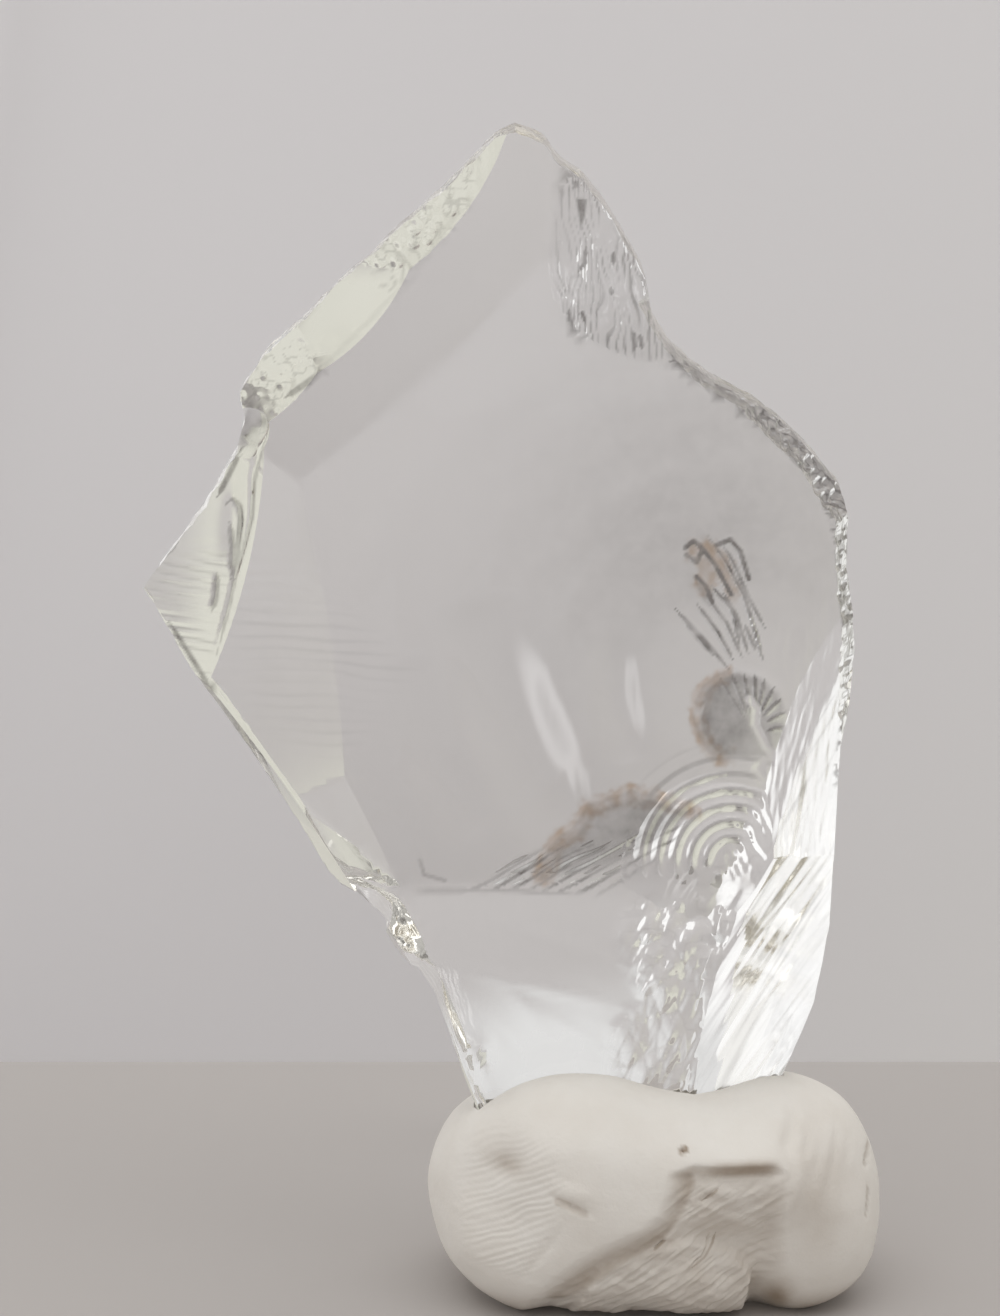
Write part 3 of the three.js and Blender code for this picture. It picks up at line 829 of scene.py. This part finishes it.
SLITS = [[(-2.3, 11.4), (-3.9, 11.0), (-5.1, 10.3)], [(-5.1, 9.1), (-5.8, 8.1), (-6.5, 7.0)]]


def recess(x, z):
    """The rough place under the ledge: sharp at the top and soft at its sides."""
    return UNDER_LEDGE(x, z) * HOLLOW(x, z)


def pushed(window, depth):
    """A place pushed in by one depth all over."""
    return lambda h, x, z: h - depth * window(x, z)


# What hands and tools left on each side of the lump.
FRONT_MARKS = [
    dented([(-10.2, 11.9, 1.5, 0.9, 25, 0.30), (-9.2, 13.2, 1.6, 0.8, 20, 0.12),
            (-5.7, 9.7, 1.2, 0.24, -22, 0.30), (8.7, 1.2, 1.3, 2.2, 0, 1.5),
            (-7.6, 6.2, 0.4, 2.4, -35, 0.12)]),
    swelled([(-7.2, 11.0), (-5.6, 10.6), (-4.0, 10.5)], 0.9, 0.14),
    waved((28, 0.44, 31, 0.45), 0.024, RIDGED),
    pushed(recess, 0.95),
    pushed(FLAP, -0.5),
    streaked(34, 0.35, 2.4, 0.10, recess, 32),
    streaked(-24, 0.9, 3.0, 0.10, recess, 33),
    chipped(0.8, 0.6, 0.08, 0.22, recess, 34, 1.8, 30, 0.5),
    fissured(CRACKS, 0.12, 0.22),
    streaked(76, 0.6, 4, 0.10, spot((11.6, 12), 3.4, 2), 38),
    fissured([[(10.4, 15.2), (10.0, 13.8), (9.3, 12.6)],
              [(11.8, 15.2), (11.2, 13.7), (10.7, 12.2)]], 0.8, 0.26),
    fissured([SPECK], 0.22, 0.35),
]
RIGHT_MARKS = [
    fissured(SLITS, 0.25, 0.25),
    waved((70, 0.6, 35, 0.8), 0.03, spot((2, 8), 4, 2)),
]
BACK_MARKS = [
    dented([(6.5, 9.0, 2.6, 1.8, 20, 0.7), (-5.0, 6.0, 2.2, 1.6, -30, 0.5),
            (1.0, 11.0, 3.5, 0.3, 8, 0.3)]),
    waved((-18, 0.5, 36, 0.8), 0.045, spot((6.5, 8.5), 3, 1)),
    waved((32, 0.5, 37, 0.8), 0.045, spot((-5.5, 6.5), 3, 1)),
]


def facing(amount):
    """1 on the side of the lump that faces one way, fading round it."""
    return ease(amount, 0.15, 0.5)


def worked(p, toward):
    """How far hands and tools moved each point of the lump out."""
    x, y, z = p.T
    a, b, c = x / UNEVEN, y / UNEVEN, z / UNEVEN
    out = 0.09 * (grain(a, c, 81) + grain(b, c, 82) + grain(a, b, 83))
    out = out + 0.012 * (grain(x / 0.5, z / 0.5, 84) + grain(y / 0.5, z / 0.5, 85))
    right, back = toward[:, 0], toward[:, 1]
    sides = (-back, x, FRONT_MARKS), (right, y, RIGHT_MARKS), (back, x, BACK_MARKS)
    for amount, across, marks in sides:
        own = np.zeros(len(p))
        for mark in marks:
            own = mark(own, across, z)
        out = out + own * facing(amount)
    return out - 0.15


def from_middle(p):
    """The direction of each point from the middle of the lump."""
    d = p - np.array(PUTTY_MIDDLE)
    return d / np.linalg.norm(d, axis=1)[:, None]


def shown_in(window, c):
    """Whether each place is within a window on the front of the lump."""
    return (window(c[:, 0], c[:, 2]) > FAINT) & (c[:, 1] < LUMP_FRONT) & (c[:, 2] > LUMP_BASE)


def add_lump(values):
    """A squared ball, pressed in by fingers, worked over, cut flat underneath and socketed."""
    half = np.array((values.half_width, values.half_depth, values.half_height)) / MM
    clear_selection()
    bpy.ops.mesh.primitive_cube_add(size=2)
    lump = bpy.context.object
    bpy.ops.object.mode_set(mode="EDIT")
    bpy.ops.mesh.select_all(action="SELECT")
    bpy.ops.mesh.subdivide(number_cuts=PUTTY_CUTS)
    bpy.ops.object.mode_set(mode="OBJECT")
    d = np.tan(points_of(lump) * math.pi / 4)
    d /= np.linalg.norm(d, axis=1)[:, None]
    radius = (np.abs(d / half) ** PUTTY_FULLNESS).sum(1) ** (-1 / PUTTY_FULLNESS)
    p = np.array(PUTTY_MIDDLE) + d * radius[:, None]
    pressed = np.zeros(len(p))
    for at, reach, depth in PRESSES:
        away = np.linalg.norm(p - np.array(at), axis=1) / reach
        pressed += depth * np.exp(-away * away)
    move_points(lump, p - d * pressed[:, None])
    for window in (RIDGED, recess):
        refine(lump, lambda c: shown_in(window, c), 2)
    p = points_of(lump)
    toward = from_middle(p)
    move_points(lump, p + toward * values.handling * worked(p, toward)[:, None])
    bpy.ops.mesh.primitive_cube_add(size=BASE_BLOCK, location=(0, 0, -BASE_BLOCK / 2))
    cut(lump, bpy.context.object)
    cut(lump, add_flake(gap=values.socket_gap / MM))
    return lump


def paint_lump(lump):
    """Marks where the putty has dirt and painted shade: in its hollows, cracks and slits, under its
    ledge and on its right, and darker towards its base.
    """
    p = points_of(lump)
    toward = from_middle(p)
    x, y, z = p.T
    cloudy = 0.5 + 0.5 * grain(x / 1.6, z / 1.6, 91)
    hollow = recess(x, z)
    # Painted shade under the lip of the ledge.
    away, along = beside(x, z, LEDGE)
    ledge = (1 - ease(away, 0.15, 0.95)) * ease(along, 0, 0.35) * (1 - ease(along, 0.72, 1))
    in_front = np.maximum.reduce([
        0.75 * ledge,
        # Dirt and painted shade in the hollow under the ledge, uneven.
        hollow * (0.13 + 0.20 * cloudy),
        # A painted shadow down the hollow's left side.
        0.55 * hollow * lined(x, z, [HOLLOW_SIDE], 1.3),
        # Painted shade in the cracks.
        0.6 * lined(x, z, CRACKS, 0.15, True),
        0.8 * lined(x, z, [SPECK], 0.26),
        0.3 * lined(x, z, [DENT_SHADE], 0.4),
        # Painted shade in the hollow to the right of the flap.
        0.8 * blot(x, z, (8.8, 1.2), 1.2, 1.8),
        # Painted shade in the thumb dent.
        0.35 * blot(x, z, (-10.2, 11.8), 1.3, 0.8),
        # Painted shade on the lump's right.
        (0.22 + 0.12 * cloudy) * blot(x, z, (11.5, 9.5), 2.2, 4.5),
    ])
    dirt_and_painted_shade = np.maximum.reduce([
        in_front * facing(-toward[:, 1]),
        # Painted shade in the slits on the right.
        0.4 * lined(y, z, SLITS, 0.3, True) * facing(toward[:, 0]),
        # Darker towards the base, unevenly.
        0.5 * (1 - ease(z, 0.2, 3.0)) * (0.4 + 0.6 * cloudy),
    ])
    paint(lump, "dirt_and_painted_shade", np.clip(dirt_and_painted_shade, 0, 1))


# ---- finishes ------------------------------------------------------------------------------------


def feed(tree, node, inputs):
    """Links a node's inputs to outputs, or gives them values or colours."""
    for name, value in inputs.items():
        if isinstance(value, bpy.types.NodeSocket):
            tree.links.new(value, node.inputs[name])
        else:
            plain = isinstance(value, (int, float))
            node.inputs[name].default_value = value if plain else (*value, 1)


def add_node(tree, kind, inputs, **settings):
    """A node with its settings and inputs."""
    node = tree.nodes.new("ShaderNode" + kind)
    for name, value in settings.items():
        setattr(node, name, value)
    feed(tree, node, inputs)
    return node


def new_material(name):
    """A material, its nodes and its main shader."""
    material = bpy.data.materials.new(name)
    material.use_nodes = True
    return material, material.node_tree, material.node_tree.nodes["Principled BSDF"]


def attribute(tree, name):
    """What is painted on a piece under one name."""
    return add_node(tree, "Attribute", {}, attribute_name=name).outputs["Fac"]


def noise(tree, scale, detail=3.0, rough=0.55):
    """Noise over the piece, with cells of one metre divided by the scale."""
    place = add_node(tree, "TexCoord", {}).outputs["Object"]
    inputs = {"Vector": place, "Scale": scale, "Detail": detail, "Roughness": rough}
    return add_node(tree, "TexNoise", inputs).outputs["Fac"]


def spread(tree, amount, low, high):
    """An amount from 0 to 1 spread between two values."""
    return add_node(tree, "MapRange", {"Value": amount, "To Min": low, "To Max": high}).outputs[0]


def blended(tree, amount, first, second):
    """A colour between two, by an amount."""
    return add_node(tree, "Mix", {0: amount, 6: first, 7: second}, data_type="RGBA").outputs[2]


def stain_and_shade_group():
    """The shared effect of a stain and of painted shade: the clean colour, changed to the laid-over
    colour where there is any.
    """
    if "stain" in bpy.data.node_groups:
        return bpy.data.node_groups["stain"]
    group = bpy.data.node_groups.new("stain", "ShaderNodeTree")
    sockets = {"Clean": "Color", "Stain": "Color", "Amount": "Float", "Scale": "Float"}
    for name, kind in sockets.items():
        group.interface.new_socket(name, in_out="INPUT", socket_type="NodeSocket" + kind)
    group.interface.new_socket("Color", in_out="OUTPUT", socket_type="NodeSocketColor")
    given, made = group.nodes.new("NodeGroupInput"), group.nodes.new("NodeGroupOutput")
    cloud = spread(group, noise(group, given.outputs["Scale"]), 0.55, 1.45)
    uneven = add_node(group, "Math", {0: given.outputs["Amount"], 1: cloud}, operation="MULTIPLY",
                      use_clamp=True)
    colour = blended(group, uneven.outputs[0], given.outputs["Clean"], given.outputs["Stain"])
    feed(group, made, {"Color": colour})
    return group


def stained_and_shaded(tree, name, under, colour, scale=900):
    """Lays a stain, and painted shade in the same way, over a colour, where the piece is marked with
    it.
    """
    inputs = {"Clean": under, "Stain": colour, "Amount": attribute(tree, name), "Scale": scale}
    return add_node(tree, "Group", inputs, node_tree=stain_and_shade_group()).outputs["Color"]


def glass_finish(values):
    """Clear glass with rust stains, painted shade in its cracks, lines and hollows, and matt where it
    is finely bruised.
    """
    material, tree, shader = new_material("clear glass")
    rusty = stained_and_shaded(tree, "rust", (1, 1, 1), values.rust_colour)
    feed(tree, shader, {
        # Painted shade over the rusty glass, where the flake is marked dark.
        "Base Color": stained_and_shaded(tree, "dark", rusty, values.painted_shade_colour),
        "Roughness": spread(tree, attribute(tree, "frost"), 0, values.bruise_roughness),
        "Transmission Weight": 1,
        "IOR": values.bending,
    })
    depth = {"Color": values.tint, "Density": values.tint_density}
    absorb = add_node(tree, "VolumeAbsorption", depth).outputs[0]
    feed(tree, tree.nodes["Material Output"], {"Volume": absorb})
    return material


def putty_finish(values):
    """Dull white putty, warmer in patches, with dirt and painted shade in its hollows, and finely
    pitted.
    """
    material, tree, shader = new_material("white putty")
    body = blended(tree, noise(tree, 240), values.clean_colour, values.warm_colour)
    pits = {"Height": noise(tree, 2600, 4, 0.65), "Strength": 0.35, "Distance": 0.00012}
    feed(tree, shader, {
        # Dirt and painted shade over the putty's own colour.
        "Base Color": stained_and_shaded(tree, "dirt_and_painted_shade", body, values.dirt_and_shade_colour, 500),
        "Roughness": spread(tree, noise(tree, 900), 0.62, 0.86),
        "Normal": add_node(tree, "Bump", pits).outputs[0],
    })
    return material


def plain_finish(name, colour):
    """A dull plain surface of the stage, very slightly uneven in tone."""
    material, tree, shader = new_material(name)
    darker = tuple(0.97 * c for c in colour)
    uneven = blended(tree, noise(tree, 3), colour, darker)
    feed(tree, shader, {"Base Color": uneven, "Roughness": 0.9, "Specular IOR Level": 0.1})
    return material


def glow_finish(name, radiance, colour, soft):
    """A lit card whose light dies away towards its edges."""
    material = bpy.data.materials.new(name)
    material.use_nodes = True
    tree = material.node_tree
    tree.nodes.clear()
    place = add_node(tree, "SeparateXYZ", {0: add_node(tree, "UVMap", {}).outputs[0]})
    both = add_node(tree, "Math", {}, operation="MULTIPLY")
    for axis in (0, 1):
        from_edge = add_node(tree, "Math", {0: place.outputs[axis], 1: 0.5}, operation="PINGPONG")
        fade = add_node(tree, "MapRange", {"Value": from_edge.outputs[0], "From Max": soft / 2},
                        interpolation_type="SMOOTHSTEP")
        feed(tree, both, {axis: fade.outputs[0]})
    clear = add_node(tree, "BsdfTransparent", {}).outputs[0]
    glow = add_node(tree, "Emission", {"Color": colour, "Strength": radiance}).outputs[0]
    blend = add_node(tree, "MixShader", {0: both.outputs[0], 1: clear, 2: glow})
    add_node(tree, "OutputMaterial", {"Surface": blend.outputs[0]})
    return material


# ---- the stage -----------------------------------------------------------------------------------

MIDDLE = (-0.01, 0, 0.045)  # the point that the lights are turned to
WARM = (1, 0.99, 0.88)
# The lit cards, as place, target, size, radiance, colour and how much of the card fades.
GLOWS = {
    "light on the left": ((-0.75, -0.15, 0.30), MIDDLE, (0.75, 0.8), 0.95, (1, 1, 1), 0.5),
    "light at the back left": ((-0.43, 0.60, 0.10), MIDDLE, (0.72, 0.75), 1.05, (1, 1, 1), 0.2),
    "light at the front right": ((0.235, -0.95, 0.15), MIDDLE, (0.17, 0.5), 4.2, (1, 1, 1), 1.0),
    "card behind the neck": ((-0.007, 0.032, 0.0092), (-0.007, -1, 0.0092), (0.026, 0.0182), 0.77,
                             (1, 1, 1), 0.8),
    "warm card at the lower right": ((0.27, 0.45, -0.34), MIDDLE, (0.62, 0.46), 0.70, WARM, 0.3),
    "warm card on the lower floor": ((0.33, 0.42, -0.322), (0.33, 0.42, 0), (0.5, 0.34), 0.70,
                                     WARM, 0.3),
    "warm card on the right": ((0.39, 0.40, -0.05), MIDDLE, (0.50, 0.50), 0.70, WARM, 0.3),
}
# The boards, as place and size.
BOARDS = {
    "floor": ((0, -0.547, -0.015), (2.4, 1.2, 0.03)),
    "backdrop": ((0, 0.82, 0.57), (3, 0.01, 1.8)),
    "lower floor": ((0, 0.44, -0.335), (3, 0.75, 0.01)),
}
TOP_LIGHT_PLACE, TOP_LIGHT_SIZE = (0, -0.1, 0.9), (1.2, 1.0)
EYE = Vector((-0.01064, -0.30036, 0.10979))  # where the camera stands
SENSOR_WIDTH = 36


def turn_to(thing, target, front):
    """Turns one axis of a thing to a point."""
    thing.rotation_mode = "QUATERNION"
    thing.rotation_quaternion = (Vector(target) - thing.location).to_track_quat(front, "Y")


def settle_stage(thing, name, material):
    """Names and covers a finished piece of the stage."""
    bpy.ops.object.transform_apply(location=True, rotation=True, scale=True)
    thing.name = thing.data.name = name
    thing.data.materials.append(material)


def add_board(name, colour):
    """A plain board of the stage."""
    clear_selection()
    place, size = BOARDS[name]
    bpy.ops.mesh.primitive_cube_add(size=1, location=place, scale=size)
    settle_stage(bpy.context.object, name, plain_finish("pale " + name, colour))


def add_glow(name, strength):
    """A softly lit card that the camera does not see."""
    place, target, size, radiance, colour, soft = GLOWS[name]
    clear_selection()
    bpy.ops.mesh.primitive_plane_add(size=1, location=place)
    card = bpy.context.object
    card.scale = (*size, 1)
    turn_to(card, target, "Z")
    card.visible_camera = False
    settle_stage(card, name, glow_finish(name, radiance * strength, colour, soft))


def add_top_light(radiance):
    """The soft light above."""
    clear_selection()
    bpy.ops.object.light_add(type="AREA", location=TOP_LIGHT_PLACE)
    lamp = bpy.context.object
    lamp.name = lamp.data.name = "soft light above"
    lamp.data.shape = "RECTANGLE"
    lamp.data.size, lamp.data.size_y = TOP_LIGHT_SIZE
    lamp.data.energy = 4 * radiance * TOP_LIGHT_SIZE[0] * TOP_LIGHT_SIZE[1]
    turn_to(lamp, MIDDLE, "-Z")


def add_camera(lens, down):
    """The camera, which looks down a little."""
    clear_selection()
    bpy.ops.object.camera_add(location=EYE)
    camera = bpy.context.object
    camera.name = camera.data.name = "camera"
    turn_to(camera, EYE + Vector((0, math.cos(down), -math.sin(down))), "-Z")
    camera.data.lens = lens
    camera.data.sensor_width = SENSOR_WIDTH
    camera.data.clip_start = 0.01
    bpy.context.scene.camera = camera


# ---- what a user would change --------------------------------------------------------------------


def number(name, description, default, low, top, **more):
    """A number that a user can change."""
    return FloatProperty(name=name, description=description, default=default, min=low, max=top,
                         **more)


def length(name, description, default, top):
    """A length, given in millimetres."""
    return number(name, description, default * MM, 0, top * MM, precision=5, unit="LENGTH",
                  subtype="DISTANCE")


def factor(name, description, default, top=1.0):
    """How much of something there is."""
    return number(name, description, default, 0, top, subtype="FACTOR")


def colour(name, description, default):
    """A colour that a user can change."""
    return FloatVectorProperty(name=name, description=description, default=default, min=0, max=1,
                               size=3, subtype="COLOR")


class FlakeValues(bpy.types.PropertyGroup):
    """Sizes and colours of the glass flake"""

    crumble: length("Edge crumble", "How deep crumbs are broken out of the flake's edge", 0.6, 2)
    relief: factor("Relief", "How strong the ribs, streaks and scars are, with 1 as found", 1, 2)
    bending: number("Index of refraction", "How strongly the glass bends light", 1.5, 1, 2.5)
    bruise_roughness: factor("Bruise roughness", "How matt the finely bruised places are", 0.22)
    tint: colour("Tint", "The colour of light that has crossed the glass", (0.90, 0.87, 0.78))
    tint_density: number("Tint density", "How quickly the glass takes on its tint", 14, 0, 500)
    rust_colour: colour("Rust", "The stain along the rims of the dark hollows", (0.56, 0.37, 0.23))
    # Painted shade: the colour laid over the cracks, lines, the disc and the patch.
    painted_shade_colour: colour("Cracks", "The shade of cracks and shadowed lines", (0.10, 0.09, 0.085))


class LumpValues(bpy.types.PropertyGroup):
    """Sizes and colours of the lump of putty"""

    half_width: length("Half width", "Half the lump's width before it is pressed", 16.1, 40)
    half_depth: length("Half depth", "Half the lump's depth before it is pressed", 12.4, 40)
    half_height: length("Half height", "Half the lump's height before it is pressed", 9.0, 30)
    socket_gap: length("Socket gap", "The gap between the putty and the foot of the flake", 0.12, 1)
    handling: factor("Handling", "How strong the marks of handling are, with 1 as found", 1, 2)
    clean_colour: colour("Clean putty", "The lightest colour of the putty", (0.93, 0.90, 0.85))
    warm_colour: colour("Warm putty", "The colour of its warmer patches", (0.83, 0.78, 0.71))
    # Dirt and painted shade: the colour of the dirt in the hollow and of the painted shade under the
    # ledge, in the hollows, cracks and slits, on the right and towards the base.
    dirt_and_shade_colour: colour("Grime", "The dirt in the hollows and cracks and round the base",
                         (0.34, 0.25, 0.17))


class StageValues(bpy.types.PropertyGroup):
    """Lights, boards and camera"""

    floor_colour: colour("Floor", "The colour of the floor", (0.50, 0.47, 0.45))
    backdrop_colour: colour("Backdrop", "The colour of the backdrop", (0.905, 0.88, 0.89))
    lower_floor_colour: colour("Lower floor", "The colour of the floor behind and below",
                               (0.42, 0.40, 0.39))
    air_colour: colour("Room light", "The colour of the light from all round", (1, 0.99, 0.975))
    air_strength: number("Room light strength", "How bright the room light is", 0.53, 0, 5)
    top_radiance: number("Top light", "How bright the soft light above is", 0.9, 0, 20)
    card_strength: factor("Card strength", "How bright the lit cards are, with 1 as set", 1, 4)
    lens: number("Focal length", "The camera's focal length", 120, 20, 300, unit="CAMERA")
    camera_pitch: number("Camera pitch", "How far the camera looks down", math.radians(12), -1.5,
                         1.5, unit="ROTATION", subtype="ANGLE")


# ---- the steps a user runs -----------------------------------------------------------------------


class OBJECT_OT_add_glass_flake(bpy.types.Operator):
    """Add the clear flake of glass, broken out of its blank scar by scar"""

    bl_idname = "object.add_glass_flake"
    bl_label = "Add glass flake"
    bl_options = {"REGISTER", "UNDO"}

    def execute(self, context):
        values = context.scene.flake_values
        flake = add_flake(crumb=values.crumble / MM, relief=values.relief)
        paint_flake(flake)
        settle(flake, "flake", glass_finish(values), "crystal", 30)
        return {"FINISHED"}


class OBJECT_OT_add_putty_lump(bpy.types.Operator):
    """Add the lump of putty, pressed and handled, with the socket of the flake's foot in it"""

    bl_idname = "object.add_putty_lump"
    bl_label = "Add putty lump"
    bl_options = {"REGISTER", "UNDO"}

    def execute(self, context):
        values = context.scene.lump_values
        lump = add_lump(values)
        paint_lump(lump)
        settle(lump, "lump", putty_finish(values), "putty", 60)
        return {"FINISHED"}


class SCENE_OT_set_flake_stage(bpy.types.Operator):
    """Set the floor, the backdrop, the lights and the camera"""

    bl_idname = "scene.set_flake_stage"
    bl_label = "Set the stage"
    bl_options = {"REGISTER", "UNDO"}

    def execute(self, context):
        values = context.scene.stage_values
        add_board("floor", values.floor_colour)
        add_board("backdrop", values.backdrop_colour)
        add_board("lower floor", values.lower_floor_colour)
        for name in GLOWS:
            add_glow(name, values.card_strength)
        add_top_light(values.top_radiance)
        add_camera(values.lens, values.camera_pitch)
        scene = context.scene
        scene.view_settings.view_transform = "Standard"
        scene.world = bpy.data.worlds.new("soft studio")
        scene.world.use_nodes = True
        air = scene.world.node_tree.nodes["Background"]
        air.inputs["Color"].default_value = (*values.air_colour, 1)
        air.inputs["Strength"].default_value = values.air_strength
        scene.cycles.max_bounces = 32
        scene.cycles.glossy_bounces = 24
        scene.cycles.transmission_bounces = 24
        return {"FINISHED"}


class VIEW3D_PT_glass_flake(bpy.types.Panel):
    """Lists the steps and their values"""

    bl_label = "Glass flake"
    bl_idname = "VIEW3D_PT_glass_flake"
    bl_space_type = "VIEW_3D"
    bl_region_type = "UI"
    bl_category = "Flake"

    def draw(self, context):
        for step, values in STEPS:
            box = self.layout.box()
            box.operator(step.bl_idname)
            held = getattr(context.scene, values)
            for name in held.__annotations__:
                box.prop(held, name)


STEPS = (
    (OBJECT_OT_add_glass_flake, "flake_values"),
    (OBJECT_OT_add_putty_lump, "lump_values"),
    (SCENE_OT_set_flake_stage, "stage_values"),
)
GROUPS = {"flake_values": FlakeValues, "lump_values": LumpValues, "stage_values": StageValues}


def register():
    """Adds the steps, their values and the panel."""
    for name, group in GROUPS.items():
        bpy.utils.register_class(group)
        setattr(bpy.types.Scene, name, PointerProperty(type=group))
    for step, _ in STEPS:
        bpy.utils.register_class(step)
    bpy.utils.register_class(VIEW3D_PT_glass_flake)


def unregister():
    """Takes away what register added."""
    bpy.utils.unregister_class(VIEW3D_PT_glass_flake)
    for step, _ in reversed(STEPS):
        bpy.utils.unregister_class(step)
    for name, group in reversed(GROUPS.items()):
        delattr(bpy.types.Scene, name)
        bpy.utils.unregister_class(group)


def main():
    """Builds both pieces and the stage."""
    register()
    bpy.ops.object.add_glass_flake()
    bpy.ops.object.add_putty_lump()
    bpy.ops.scene.set_flake_stage()


if __name__ == "__main__":
    main()
